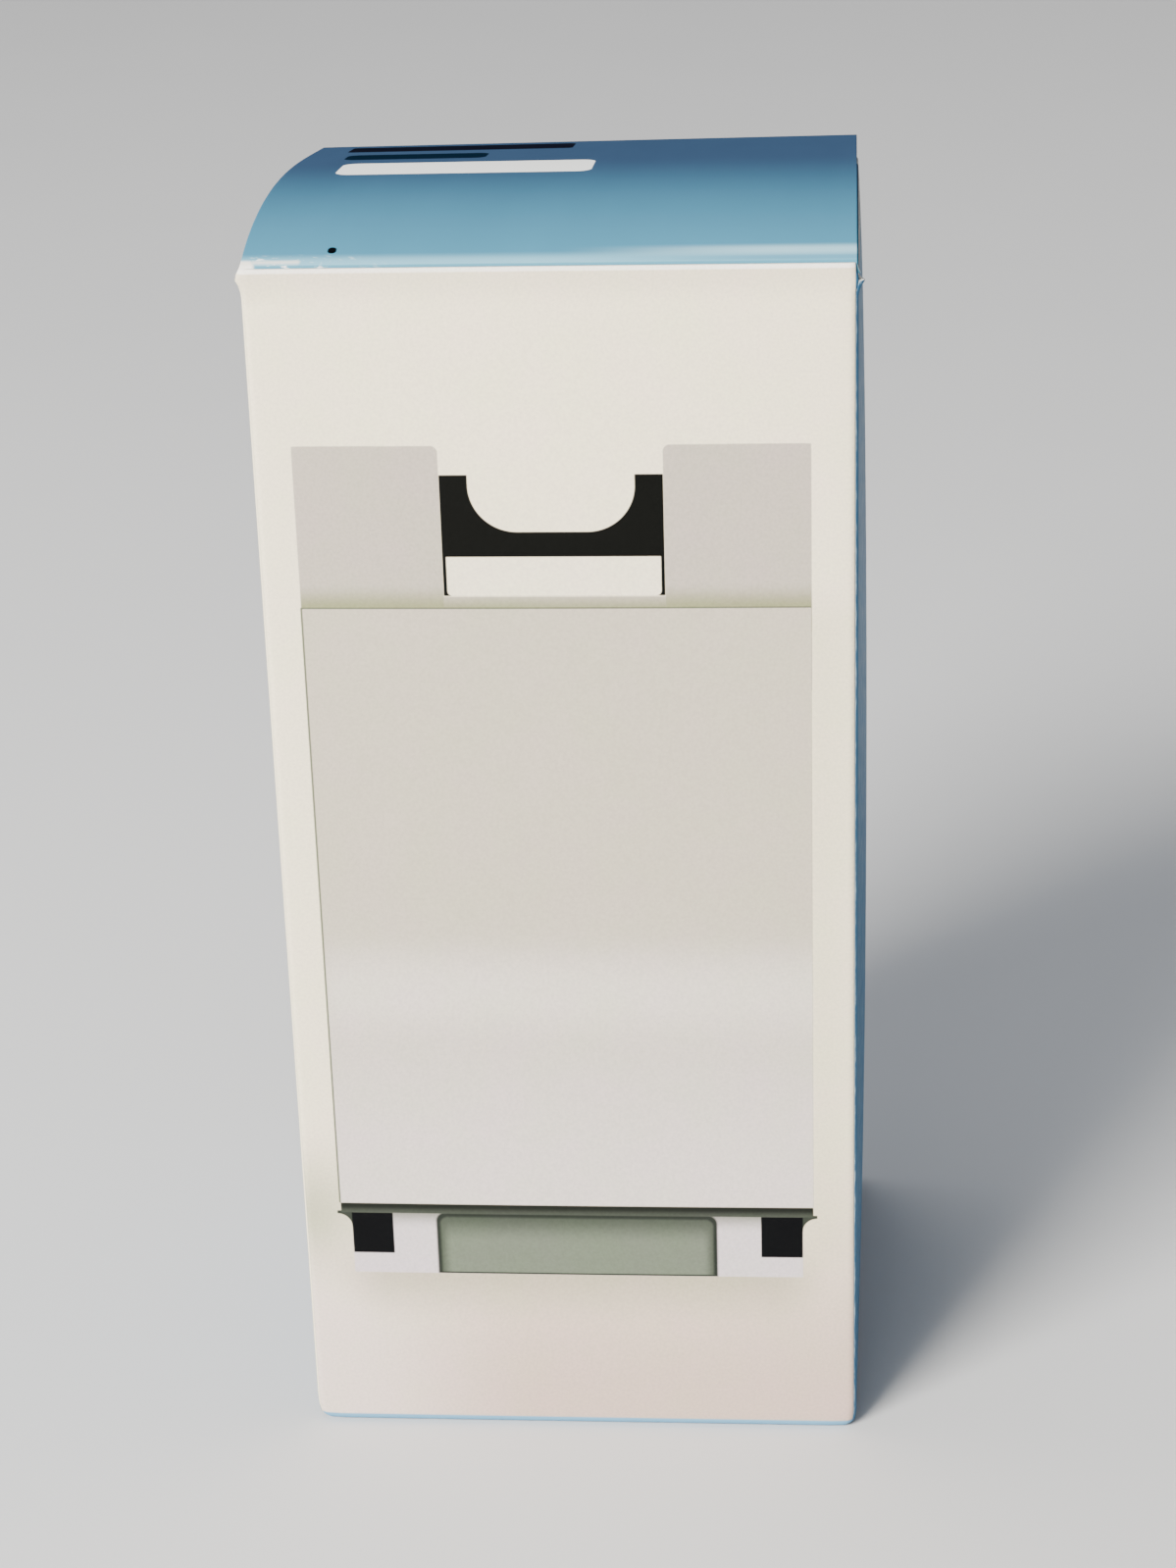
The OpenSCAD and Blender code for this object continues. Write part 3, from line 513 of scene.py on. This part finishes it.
# The rows lie closest together at the front, where the lid curves most
crown = [first + (rear_start - first) * (i / 60) ** 1.5 for i in range(1, 60)]
lid_path = ([tuck_top, (tuck_top[0], LID_CREASE - 0.5 * MM)] + fold_front
            + [(y, lid_height(y)) for y in crown]
            + fold_rear + [(DEPTH, BACK_TOP + STRAIGHT), (DEPTH, BACK_TOP)])


def lid_place(x, cut):
    """The lid's points, held a little higher at the rear, and most at the right-hand end."""
    share = min(max((cut[0] + DEPTH) / 2 / DEPTH, 0), 1)
    free = min(max((cut[1] - BACK_TOP - STRAIGHT) / ROUND, 0), 1)
    lift = (0.5 + 0.8 * (x + WIDTH) / 2 / WIDTH) * MM
    return x, cut[0], cut[1] + lift * share ** 1.7 * free


edge_x = WIDTH - 0.2 * MM
lid = board_sheet("lid_board", [-edge_x, *steps(RIM - edge_x, edge_x - RIM, 56), edge_x],
                  lid_path, lid_place, [lid_print_and_sheen, board_liner, board_core], None)
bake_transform(lid)
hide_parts("top_lid")

LEAN = math.radians(12)
TUCK_LENGTH = 14 * MM
TUCK_CORNER = 5 * MM
tuck_path = [(TUCK[1] + s * math.sin(LEAN), TUCK[2] - s * math.cos(LEAN), s)
             for s in steps(TUCK_LENGTH, 1.4 * MM, 22)]
tuck_path += [(TUCK[1] - 0.1 * MM, TUCK[2] - 0.8 * MM, 0), (*tuck_top, 0)]


def tuck_place(share, cut):
    """Rows of the tuck flap, with both lower corners rounded off."""
    past = max(0, cut[2] - TUCK_LENGTH + TUCK_CORNER)
    rounded = math.sqrt(max(0, TUCK_CORNER ** 2 - past ** 2))
    return share * (WIDTH - 1.5 * MM - TUCK_CORNER + rounded), cut[0], cut[1]


tuck = board_sheet("tuck_flap_board", steps(-1, 1, 40), tuck_path, tuck_place,
                   [lid_print_and_sheen, board_liner, board_core], None)
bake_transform(tuck)
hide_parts("top_tuck_flap")

# ---- Top dust flaps ----
# Two flaps that close inwards from the side panels before the lid goes down. Light blue
# like the lid, cut back at their rear corners so that the lid can pass them.
FLAP_LENGTH = 26 * MM
FLAP_ROUND = 0.75 * MM
SAG = 0.4 * MM
flap_root = arc((WIDTH - FLAP_ROUND, SIDE_TOP), FLAP_ROUND, 0, 90, 7)
flap_path = [(x, z, 0) for x, z in flap_root]
flap_path += [(WIDTH - 0.3 * MM - s, flap_root[-1][1] - SAG * (s / FLAP_LENGTH) ** 2, s)
              for s in steps(0.8 * MM, FLAP_LENGTH, 26)]


def flap_limits(s):
    """Front and rear edge of the flap at a distance from its crease."""
    reach = FLAP_LENGTH - s
    # The front edge tapers a little, and its end is bevelled
    front_edge = -DEPTH + 3.2 * MM + 0.1 * s + max(0, 3.4 * MM - reach)
    # The rear edge runs square for 3 mm, and then slopes forwards by 22 mm in every 21
    rear_edge = DEPTH - 6.5 * MM - max(0, s - 3 * MM) * 22 / 21
    return front_edge, rear_edge - max(0, 2.0 * MM - reach)


for side, name in ((1, "right"), (-1, "left")):
    def flap_place(share, cut):
        low, high = flap_limits(cut[2])
        return side * cut[0], (low + high) / 2 + side * share * (high - low) / 2, cut[1]

    flap = board_sheet("dust_flap_board_" + name, steps(-1, 1, 40), flap_path, flap_place,
                       [lid_print_and_sheen, board_liner, board_core], None)
    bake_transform(flap)
    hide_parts("dust_flap_" + name)

# ---- Lift-out tray ----
# Floor, two side walls, rear wall and an upright divider of 1 mm white card, die cut, folded
# and glued. The divider's tab has a finger hole to lift the tray out by.

# Uncoated card is matt and faintly fibrous, with no colour of its own
tray_card, tree, shader = start_material("white_tray_card", "E9E8E3", 0.8)
pulp = mottle(tree, shader, millimetres(tree, (1, 1, 0.4)), 0.45, 0, 1, None, 4)
card = over(tree, ink("E2E0DA"), ink("EFEEEA"), pulp)
# Faint grey scuffs where the card has rubbed on the carton
scuffs = mottle(tree, shader, millimetres(tree, (1, 1, 0.15)), 3.5, -1.6, 0.5, None, 4)
tree.links.new(over(tree, card, ink("C9C7C0"), scuffs), shader.inputs["Base Color"])
relief(tree, shader, pulp, 0.02)
for name in ("tray_floor", "tray_left_wall", "tray_right_wall", "tray_rear_wall", "tray_divider"):
    finish_node(name, tray_card)


def softened(node, name, radius, finishes, body, segments=2):
    """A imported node's own shape as a new piece, with its sharp edges rounded off."""
    bm = bmesh.new()
    bm.from_mesh(frame["nodes"][node].data)
    bmesh.ops.remove_doubles(bm, verts=bm.verts, dist=1e-6)
    bmesh.ops.dissolve_limit(bm, verts=bm.verts, edges=bm.edges, angle_limit=math.radians(2))
    sharp = [e for e in bm.edges
             if len(e.link_faces) == 2 and e.calc_face_angle(0) > math.radians(35)]
    bmesh.ops.bevel(bm, geom=sharp, offset=radius, offset_type="OFFSET", affect="EDGES",
                    segments=segments, profile=0.5, material=-1, clamp_overlap=True)
    mesh = bpy.data.meshes.new(name)
    bm.to_mesh(mesh)
    bm.free()
    for material in finishes:
        mesh.materials.append(material)
    mesh.shade_smooth()
    mesh.set_sharp_from_angle(angle=math.radians(32))
    piece = bpy.data.objects.new(name, mesh)
    bpy.context.scene.collection.objects.link(piece)
    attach(piece, body)
    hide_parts(node)
    return piece


# ---- Foam cheeks ----
# Two strips of closed-cell polyethylene foam, cut from a sheet and glued inside the side
# walls, which centre the actuator.

# The cut opens its cells: a dull, pitted white, with painted shade darkening each pit. They are
# drawn twice their size, to show
packing_foam, tree, shader = start_material("closed_cell_foam", "D8D7D1", 0.95)
CELL_SIZE = 0.7
cells = add(tree, "TexVoronoi", {"Vector": millimetres(tree), "Scale": 1 / CELL_SIZE})
pits = add(tree, "MapRange", {"Value": cells.outputs["Distance"], "From Max": 0.6})
tree.links.new(over(tree, ink("C2C1BA"), ink("DEDDD8"), pits.outputs[0]),
               shader.inputs["Base Color"])
relief(tree, shader, pits.outputs[0], 0.12)
cheeks = softened("foam_cheeks", "foam_cheek_strips", 0.7 * MM, [packing_foam], "tray", 3)

# ---- Leaflet ----
# The instructions: one sheet of thin paper, folded three times into four leaves and stood
# against the tray's rear wall. Grey bars stand for its lines of print.

# Thin uncoated paper is flat white, with the weave of its pulp just showing
leaflet_paper, tree, shader = start_material("uncoated_leaflet_paper", "EEEDE8", 0.9)
weave = mottle(tree, shader, millimetres(tree), 0.4, 0, 1, None, 4)
page = over(tree, ink("E9E7E1"), ink("F3F2EE"), weave)
flat = millimetres(tree, (1, 0, 1))
page = over(tree, page, ink("6E8798"), shape(tree, flat, (-24, 6), (91, 94), 0.6))
LINE_SPACING = 6.4
height = add(tree, "SeparateXYZ", {0: flat}).outputs[2]
wave = add(tree, "Math", {0: height, 1: LINE_SPACING / 2}, operation="PINGPONG").outputs[0]
lines = add(tree, "MapRange", {"Value": wave, "From Min": 2.2, "From Max": 2.35}).outputs[0]
column = shape(tree, flat, (-25, 25), (16, 86), 1)
page = over(tree, page, ink("9B9D9F"), both(tree, lines, column))
tree.links.new(page, shader.inputs["Base Color"])
relief(tree, shader, weave, 0.01)
LEAVES = 4
PAPER = 0.12 * MM
low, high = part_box("quick_guide")
leaf_gap = (high.y - low.y) / LEAVES
leaflet_path = []
for leaf in range(LEAVES):
    y = low.y + leaf_gap * (leaf + 0.5)
    # Each leaf ends a little lower than the next, as a fold takes up paper
    leaf_top = high.z - 0.9 * MM - 0.8 * MM * (LEAVES - 1 - leaf)
    climb = steps(low.z + 0.6 * MM, leaf_top, 24)
    climb = climb if leaf % 2 == 0 else climb[::-1]
    leaflet_path += [(y + PAPER * math.sin(math.pi * i / 24), z) for i, z in enumerate(climb)]
    if leaf < LEAVES - 1:
        turn = 0.25 * MM if leaf % 2 == 0 else -0.25 * MM
        leaflet_path += [(y + leaf_gap * k / 4, climb[-1] + turn * math.sin(math.pi * k / 4))
                         for k in (1, 2, 3)]
leaflet = board_sheet("folded_leaflet", steps(-31 * MM, 31 * MM, 20), leaflet_path,
                      lambda x, cut: (x, *cut), [leaflet_paper] * 3, "tray")
leaflet.modifiers["thickness"].thickness = PAPER
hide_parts("quick_guide")

# ---- Adhesive pads ----
# Two pads of dark double-sided foam tape with rounded corners, each still on its pale
# release liner and stuck to the back of the divider.

# The foam is dark and dull, and the waxed liner over it is a pale straw colour
foam_tape, tree, shader = start_material("foam_tape_with_liner", "3A3B3D", 0.6)
pad_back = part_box("adhesive_pads")[1].y / MM
liner = fade(tree, millimetres(tree), 1, pad_back - 0.25, pad_back - 0.2)
tape = over(tree, ink("3A3B3D"), ink("D9C9A0"), liner)
tree.links.new(tape, shader.inputs["Base Color"])
mottle(tree, shader, millimetres(tree), 0.6, 0.45, 0.7)
relief(tree, shader, mottle(tree, shader, millimetres(tree), 0.5, 0, 1, None), 0.03)
pads = softened("adhesive_pads", "foam_tape_pads", 0.15 * MM, [foam_tape], "tray")

# ---- Plate screws ----
# Two long steel machine screws for a deep switch plate. They are headed and thread-rolled
# from wire, then zinc plated.

# Bright zinc: a cool white metal, a little uneven from place to place
zinc_steel, tree, shader = start_material("zinc_plated_steel", "C4C6C8", 0.3, Metallic=1.0)
mottle(tree, shader, millimetres(tree), 0.8, 0.22, 0.4)
plating = mottle(tree, shader, millimetres(tree), 3, 0, 1, None)
tree.links.new(over(tree, ink("B9BCC0"), ink("D0D1CF"), plating), shader.inputs["Base Color"])


def turned(name, outline, place, finishes, body, count=48):
    """A turned piece: an outline of (radius, height) spun round its axis, then placed."""
    bm = bmesh.new()
    chain = [bm.verts.new((r, 0, h)) for r, h in outline]
    edges = [bm.edges.new(pair) for pair in zip(chain, chain[1:])]
    bmesh.ops.spin(bm, geom=chain + edges, axis=(0, 0, 1), cent=(0, 0, 0),
                   angle=2 * math.pi, steps=count, use_merge=True)
    bmesh.ops.remove_doubles(bm, verts=bm.verts, dist=1e-6)
    bmesh.ops.recalc_face_normals(bm, faces=bm.faces)
    bmesh.ops.transform(bm, matrix=place, verts=bm.verts)
    mesh = bpy.data.meshes.new(name)
    bm.to_mesh(mesh)
    bm.free()
    for material in finishes:
        mesh.materials.append(material)
    mesh.shade_smooth()
    mesh.set_sharp_from_angle(angle=math.radians(40))
    piece = bpy.data.objects.new(name, mesh)
    bpy.context.scene.collection.objects.link(piece)
    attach(piece, body)
    return piece


low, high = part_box("plate_screws")
HEAD_R, CREST_R, ROOT_R = 3.5 * MM, 1.7 * MM, 1.35 * MM
THREAD_START, THREAD_PITCH, THREADS = 6 * MM, 0.8 * MM, 24
SCREW_END = 28 * MM
shank = [(ROOT_R, 2.0 * MM), (ROOT_R, THREAD_START)]
for ridge in range(THREADS):
    start = THREAD_START + THREAD_PITCH * ridge
    shank += [(ROOT_R, start + 0.1 * MM), (CREST_R, start + 0.4 * MM), (ROOT_R, start + 0.7 * MM)]
# A domed head with a shallow recess, the shank, and a short blunt point
screw_outline = [(0, 0.9 * MM), (1.6 * MM, 0.7 * MM), (2.9 * MM, 0.3 * MM), (HEAD_R, 1.0 * MM),
                 (HEAD_R, 1.4 * MM), (CREST_R, 2.0 * MM)]
screw_outline += shank
screw_outline += [(1.2 * MM, SCREW_END - 0.8 * MM), (0.6 * MM, SCREW_END), (0, SCREW_END)]
along_x = Matrix.Rotation(math.pi / 2, 4, "Y")
for k, y in enumerate((low.y + HEAD_R, high.y - HEAD_R)):
    place = Matrix.Translation((low.x, y, low.z + HEAD_R)) @ along_x
    screw = turned("plate_screw_%d" % (k + 1), screw_outline, place, [zinc_steel], "tray", 32)
    if k == 0:
        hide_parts("plate_screws")

# ---- Wall bracket ----
# A pressed steel plate, zinc plated like the screws. It is screwed to the wall switch and
# the actuator clips over it. The small screws of the chassis and the board are plated too.
finish_node("wall_bracket", zinc_steel)
for name in ("chassis_screws", "board_screws"):
    finish_node(name, zinc_steel)

# ---- Actuator shells ----
# The rear housing with its shoulders and feet, and the front cover that lifts off for the
# batteries. Injection-moulded ABS, white, with a fine spark-eroded texture.


def moulded(name, code, grain=0.5, rough=(0.42, 0.55), depth=0.02):
    """A moulded plastic: one body colour, drawn a little uneven, over a grained surface.

    Grain is the spacing of its pits and depth their depth, in millimetres."""
    material, tree, shader = start_material(name, code, rough[0], IOR=1.5)
    body = mottle(tree, shader, millimetres(tree), 11, 0.96, 1.03, None, 2)
    base = add(tree, "VectorMath", {0: ink(code)[:3], "Scale": body}, operation="SCALE")
    tree.links.new(base.outputs[0], shader.inputs["Base Color"])
    mottle(tree, shader, millimetres(tree), grain * 2, *rough)
    relief(tree, shader, mottle(tree, shader, millimetres(tree), grain, 0, 1, None), depth)
    return material


# The sparked texture scatters the light, so the white shells have no sharp highlight
white_abs = moulded("spark_textured_white_abs", "B8B4AD")
cover_abs = moulded("spark_textured_cover_abs", "C3BFB7")
housing = softened("rear_housing", "rear_housing_moulding", 0.3 * MM, [white_abs], "tray")
cover_piece = softened("front_cover", "front_cover_moulding", 0.45 * MM, [cover_abs], "tray", 3)

# ---- Latch ----
# A black U-shaped slide between the shoulders, moulded in acetal, with a white thumb bar
# snapped on below it. Pushed up, it frees the actuator from its bracket.

# Acetal comes from the tool with a soft, slightly waxy gloss
black_acetal = moulded("black_acetal", "0A0A0A", 0.4, (0.42, 0.55))
white_acetal = moulded("white_acetal", "E4DFD3", 0.4, (0.36, 0.48))
latch = softened("release_latch", "latch_slide_moulding", 0.25 * MM, [black_acetal], "latch")
thumb = softened("latch_thumb_bar", "latch_thumb_moulding", 0.5 * MM, [white_acetal], "latch", 3)

# ---- Corner pads, window and lamps ----
# Soft black pads at the foot's corners, and a smoked window in front of three small lamps
# on their own board.

# Silicone rubber is dead black and almost without shine
black_rubber = moulded("black_silicone_rubber", "0B0B0C", 0.3, (0.7, 0.85), 0.03)
corner = softened("corner_pads", "corner_pad_mouldings", 0.3 * MM, [black_rubber], "tray", 3)
# A polished tool leaves the window glossy, and its grey-green tint hides what is behind it
smoked_window = moulded("smoked_grey_green_polycarbonate", "6A7363", 0.8, (0.12, 0.2), 0.004)
window_piece = softened("light_window", "smoked_window", 0.2 * MM, [smoked_window], "tray")
# Cast epoxy over yellow phosphor: glossy, and pale straw when unlit
finish_node("status_led", moulded("clear_lamp_resin", "F3EDC8", 0.4, (0.1, 0.2), 0.004))

# Green solder mask is glossy and glassy. The copper tracks below it show as lighter runs,
# and the tinned pads as pale dots
solder_mask, tree, shader = start_material("green_solder_mask", "0F4A27", 0.35, IOR=1.5)
flat = millimetres(tree, (1, 0, 1))
grid = add(tree, "TexBrick", {"Vector": flat, "Scale": 1.0, "Mortar Size": 0.12,
                              "Brick Width": 2.6, "Row Height": 1.1}, offset=0.5)
tracks = both(tree, grid.outputs["Fac"], mottle(tree, shader, flat, 4, 0, 1, None, 2))
DOT_SPACING = 2.2
dots = add(tree, "TexVoronoi", {"Vector": flat, "Scale": 1 / DOT_SPACING, "Randomness": 0.7})
pads_mask = add(tree, "MapRange", {"Value": dots.outputs["Distance"], "From Min": 0.13,
                                   "From Max": 0.16, "To Min": 1, "To Max": 0}).outputs[0]
board_face = over(tree, ink("0E4524"), ink("2C7A45"), tracks)
board_face = over(tree, board_face, ink("C9C7BC"), pads_mask)
tree.links.new(board_face, shader.inputs["Base Color"])
relief(tree, shader, either(tree, tracks, pads_mask), 0.03)
finish_node("led_board", solder_mask)

# ---- Battery bay ----
# An open black tray for two AA cells laid opposite ways, with nickel-plated contact plates
# and conical springs. The cells wear a plain printed jacket between steel ends.

# Black ABS with the shells' texture has a dull satin face
black_abs = moulded("black_abs", "242527", 0.5, (0.45, 0.6))
bay = softened("battery_holder", "battery_bay_moulding", 0.3 * MM, [black_abs], "tray")
# Nickel is a warm, bright plate, dulled a little in patches
nickel, tree, shader = start_material("nickel_plated_spring_steel", "CFCBC0", 0.2, Metallic=1.0)
mottle(tree, shader, millimetres(tree), 1.2, 0.15, 0.3)
for name in ("battery_springs", "battery_plates"):
    finish_node(name, nickel)

# The jacket is printed shrink film, so it has a clear, wet-looking coat over its colour
cell_jacket, tree, shader = start_material("printed_cell_jacket", "1F5D40", 0.3, IOR=1.5,
                                           Coat_Weight=0.5, Coat_Roughness=0.08)
CELL_R = 7.25 * MM
CELL_LENGTH = 50.5 * MM
low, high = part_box("batteries")
band = shape(tree, millimetres(tree, (0, 0, 1)), (-9, 9),
             (low.z / MM + 18, low.z / MM + 24), 0.3)
jacket = over(tree, ink("1F5D40"), ink("B9BCBD"), band)
tree.links.new(jacket, shader.inputs["Base Color"])
mottle(tree, shader, millimetres(tree), 5, 0.26, 0.36)
# An AA cell in millimetres: its flat end, the jacket rolled over it, the sides, the shoulder
# under the jacket's upper edge, and the button
cell_outline = [(0, 0), (5.2, 0), (5.6, 0.25), (6.5, 0.25), (7.0, 0.1), (7.25, 0.5),
                (7.25, 47.9), (7.0, 48.5), (6.4, 48.7), (6.2, 48.4), (3.4, 48.4), (3.1, 48.8),
                (2.75, 49.0), (2.75, 50.2), (2.5, 50.5), (0, 50.5)]
cell_outline = [(radius * MM, height * MM) for radius, height in cell_outline]
JACKET_LOW, JACKET_TOP, JACKET_R = 0.4 * MM, 48.2 * MM, 6.9 * MM
for name, x, z, flip in (("cell_1", low.x + CELL_R, high.z - CELL_LENGTH, 0),
                         ("cell_2", high.x - CELL_R, low.z + CELL_LENGTH, math.pi)):
    place = Matrix.Translation((x, low.y + CELL_R, z)) @ Matrix.Rotation(flip, 4, "X")
    cell = turned(name, cell_outline, place, [cell_jacket, nickel], "tray", 56)
    for face in cell.data.polygons:
        run = abs(face.center.z - z)
        from_axis = math.hypot(face.center.x - x, face.center.y - low.y - CELL_R)
        jacketed = JACKET_LOW < run < JACKET_TOP and from_axis > JACKET_R
        face.material_index = 0 if jacketed else 1
    if flip == 0:
        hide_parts("batteries")

# ---- Circuit board ----
# One green board with a shielded radio module, a few packaged parts, and a side-push
# switch behind the pairing button in the cover's wall.
finish_node("circuit_board", solder_mask)
# Rolled tinplate has a soft shine, drawn out in fine lines along the sheet
tinplate, tree, shader = start_material("tinplate_shield", "BDBDB8", 0.32, Metallic=1.0)
mottle(tree, shader, millimetres(tree, (1, 1, 0.08)), 0.5, 0.24, 0.42)
relief(tree, shader, mottle(tree, shader, millimetres(tree, (1, 1, 0.08)), 0.5, 0, 1, None),
       0.006)
finish_node("radio_module", tinplate)
# Moulded epoxy packages are matt and nearly black
finish_node("board_chips", moulded("black_epoxy_package", "161617", 0.25, (0.5, 0.65), 0.01))
finish_node("push_switch", black_abs)
# Light grey ABS with the shells' soft sheen, so that the button hardly stands out
button = softened("pairing_button", "pairing_button_cap", 0.25 * MM,
                  [moulded("light_grey_abs", "C9C9C6", 0.4)], "button", 3)

# ---- Motor and gears ----
# A flat-sided motor in a drawn steel can, with a plate gearbox below it. A brass gear on
# its shaft drives an acetal gear on the screw.

# Drawing leaves the can bright, with faint lines along its length
drawn_steel, tree, shader = start_material("drawn_motor_steel", "B6B8BA", 0.3, Metallic=1.0)
mottle(tree, shader, millimetres(tree, (1, 1, 0.1)), 0.4, 0.22, 0.4)
for name in ("motor_can", "motor_shaft"):
    finish_node(name, drawn_steel)
# Machined brass: warm and bright, with fine turning marks
machined_brass, tree, shader = start_material("machined_brass", "C9A55C", 0.25, Metallic=1.0)
mottle(tree, shader, millimetres(tree, (1, 1, 6)), 0.6, 0.18, 0.36)
tree.links.new(over(tree, ink("BE9A50"), ink("D8B872"), mottle(
    tree, shader, millimetres(tree), 4, 0, 1, None)), shader.inputs["Base Color"])
for name in ("gearbox", "motor_gear"):
    finish_node(name, machined_brass)
# Unpigmented acetal is milky and smooth
finish_node("screw_gear", moulded("natural_acetal", "ECEAE0", 0.6, (0.3, 0.42), 0.008))

# Two leads with extruded PVC insulation, smooth and half glossy, one red and one black
lead_pvc, tree, shader = start_material("pvc_lead_insulation", "8E1D1A", 0.45, IOR=1.5)
low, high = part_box("motor_leads")
between = (low.x + high.x) / 2 / MM
black_lead = fade(tree, millimetres(tree), 0, between - 0.1, between + 0.1)
tree.links.new(over(tree, ink("A3211C"), ink("1A1A1B"), black_lead), shader.inputs["Base Color"])
mottle(tree, shader, millimetres(tree), 0.8, 0.38, 0.5)
finish_node("motor_leads", lead_pvc)

# ---- Screw, rail and carriage ----
# A rolled steel screw in bronze bushes and a ground steel rail carry the fork that moves
# the wall switch's lever. The carriage is glass-filled nylon, with rubber pads in its fork.

# Ground steel is bright, with fine rings round the rod
ground_steel, tree, shader = start_material("ground_steel", "A9ABAE", 0.22, Metallic=1.0)
mottle(tree, shader, millimetres(tree, (1, 1, 8)), 0.5, 0.16, 0.32)
for name in ("leadscrew", "guide_rail"):
    finish_node(name, ground_steel)
# Sintered bronze is brown and dull, with open pores
sintered_bronze, tree, shader = start_material("sintered_bronze", "8E6B42", 0.5, Metallic=1.0)
mottle(tree, shader, millimetres(tree), 0.3, 0.35, 0.65)
tree.links.new(over(tree, ink("7C5B37"), ink("A07B50"), mottle(
    tree, shader, millimetres(tree), 0.4, 0, 1, None)), shader.inputs["Base Color"])
finish_node("screw_bushes", sintered_bronze)
# Hot-dip galvanising leaves a pale patchwork of zinc crystals on the chassis plate
SPANGLE = 6
galvanised, tree, shader = start_material("galvanised_sheet", "B4B8BA", 0.4, Metallic=1.0)
spangle = add(tree, "TexVoronoi", {"Vector": millimetres(tree), "Scale": 1 / SPANGLE})
tree.links.new(over(tree, ink("A8ACAF"), ink("C6C9CA"), spangle.outputs["Color"]),
               shader.inputs["Base Color"])
mottle(tree, shader, millimetres(tree), 1.5, 0.32, 0.5)
finish_node("chassis", galvanised)
# Glass-filled nylon is dark and rough, where fibres come up to the surface
filled_nylon = moulded("glass_filled_nylon", "303235", 0.35, (0.5, 0.65), 0.03)
carriage = softened("toggle_carriage", "fork_carriage_moulding", 0.3 * MM, [filled_nylon],
                    "carriage")
finish_node("fork_pads", black_rubber)

# ---- Floor, light and camera ----
# A pale paper floor under soft studio light from the left and the front, seen from the
# front and a little above.

# Paper is flat and matt, so only the carton's shadow marks it
floor_paper, tree, shader = start_material("pale_floor_paper", "D3D5D8", 0.85)
mottle(tree, shader, millimetres(tree), 60, 0.75, 0.85)
FLOOR_HALF = 12
bm = bmesh.new()
bmesh.ops.create_grid(bm, x_segments=1, y_segments=1, size=FLOOR_HALF)
mesh = bpy.data.meshes.new("paper_floor")
bm.to_mesh(mesh)
bm.free()
mesh.materials.append(floor_paper)
floor = bpy.data.objects.new("paper_floor", mesh)
bpy.context.scene.collection.objects.link(floor)

TARGET = Vector((0, 0, 0.09))
for name, where, size, power, tint in (
    ("key_softbox", (-0.7, -1.0, 0.85), 0.6, 40, (1.0, 0.95, 0.87)),
    ("fill_panel", (-0.5, -1.1, 0.3), 0.9, 9, (1.0, 0.96, 0.9)),
    ("top_panel", (-0.3, 0.3, 1.2), 0.8, 4, (0.95, 0.98, 1.0)),
):
    lamp = bpy.data.lights.new(name, "AREA")
    lamp.shape = "SQUARE"
    lamp.size = size
    lamp.energy = power
    lamp.color = tint
    holder = bpy.data.objects.new(name, lamp)
    holder.location = where
    holder.rotation_euler = (TARGET - Vector(where)).to_track_quat("-Z", "Y").to_euler()
    bpy.context.scene.collection.objects.link(holder)

# A broad, even light from the same side, which reaches the whole floor
broad_lamp = bpy.data.lights.new("broad_key", "SUN")
broad_lamp.energy = 2.6
broad_lamp.angle = math.radians(28)
broad_lamp.color = (1.0, 0.95, 0.87)
holder = bpy.data.objects.new("broad_key", broad_lamp)
holder.rotation_euler = Vector((0.7, 1.0, -0.8)).to_track_quat("-Z", "Y").to_euler()
bpy.context.scene.collection.objects.link(holder)

world = bpy.data.worlds.new("studio")
world.use_nodes = True
world.node_tree.nodes["Background"].inputs["Color"].default_value = (0.9, 0.93, 1.0, 1)
world.node_tree.nodes["Background"].inputs["Strength"].default_value = 0.3
bpy.context.scene.world = world

# The camera stands 0.4 m in front of the carton and looks down at it by about 22 degrees.
# Its axes are given as unit vectors, because it is also tilted by a degree or two
lens = bpy.data.cameras.new("camera")
lens.sensor_width = 36
lens.lens = 76.5
camera = bpy.data.objects.new("camera", lens)
RIGHT = Vector((0.99688, 0.0734, -0.02902))
DOWN = Vector((0.00138, -0.38378, -0.92342))
AHEAD = Vector((-0.07891, 0.9205, -0.38268))
camera.matrix_world = Matrix.Translation((0.03724, -0.43348, 0.26296)) @ Matrix(
    (RIGHT, -DOWN, -AHEAD)).transposed().to_4x4()
bpy.context.scene.collection.objects.link(camera)
bpy.context.scene.camera = camera
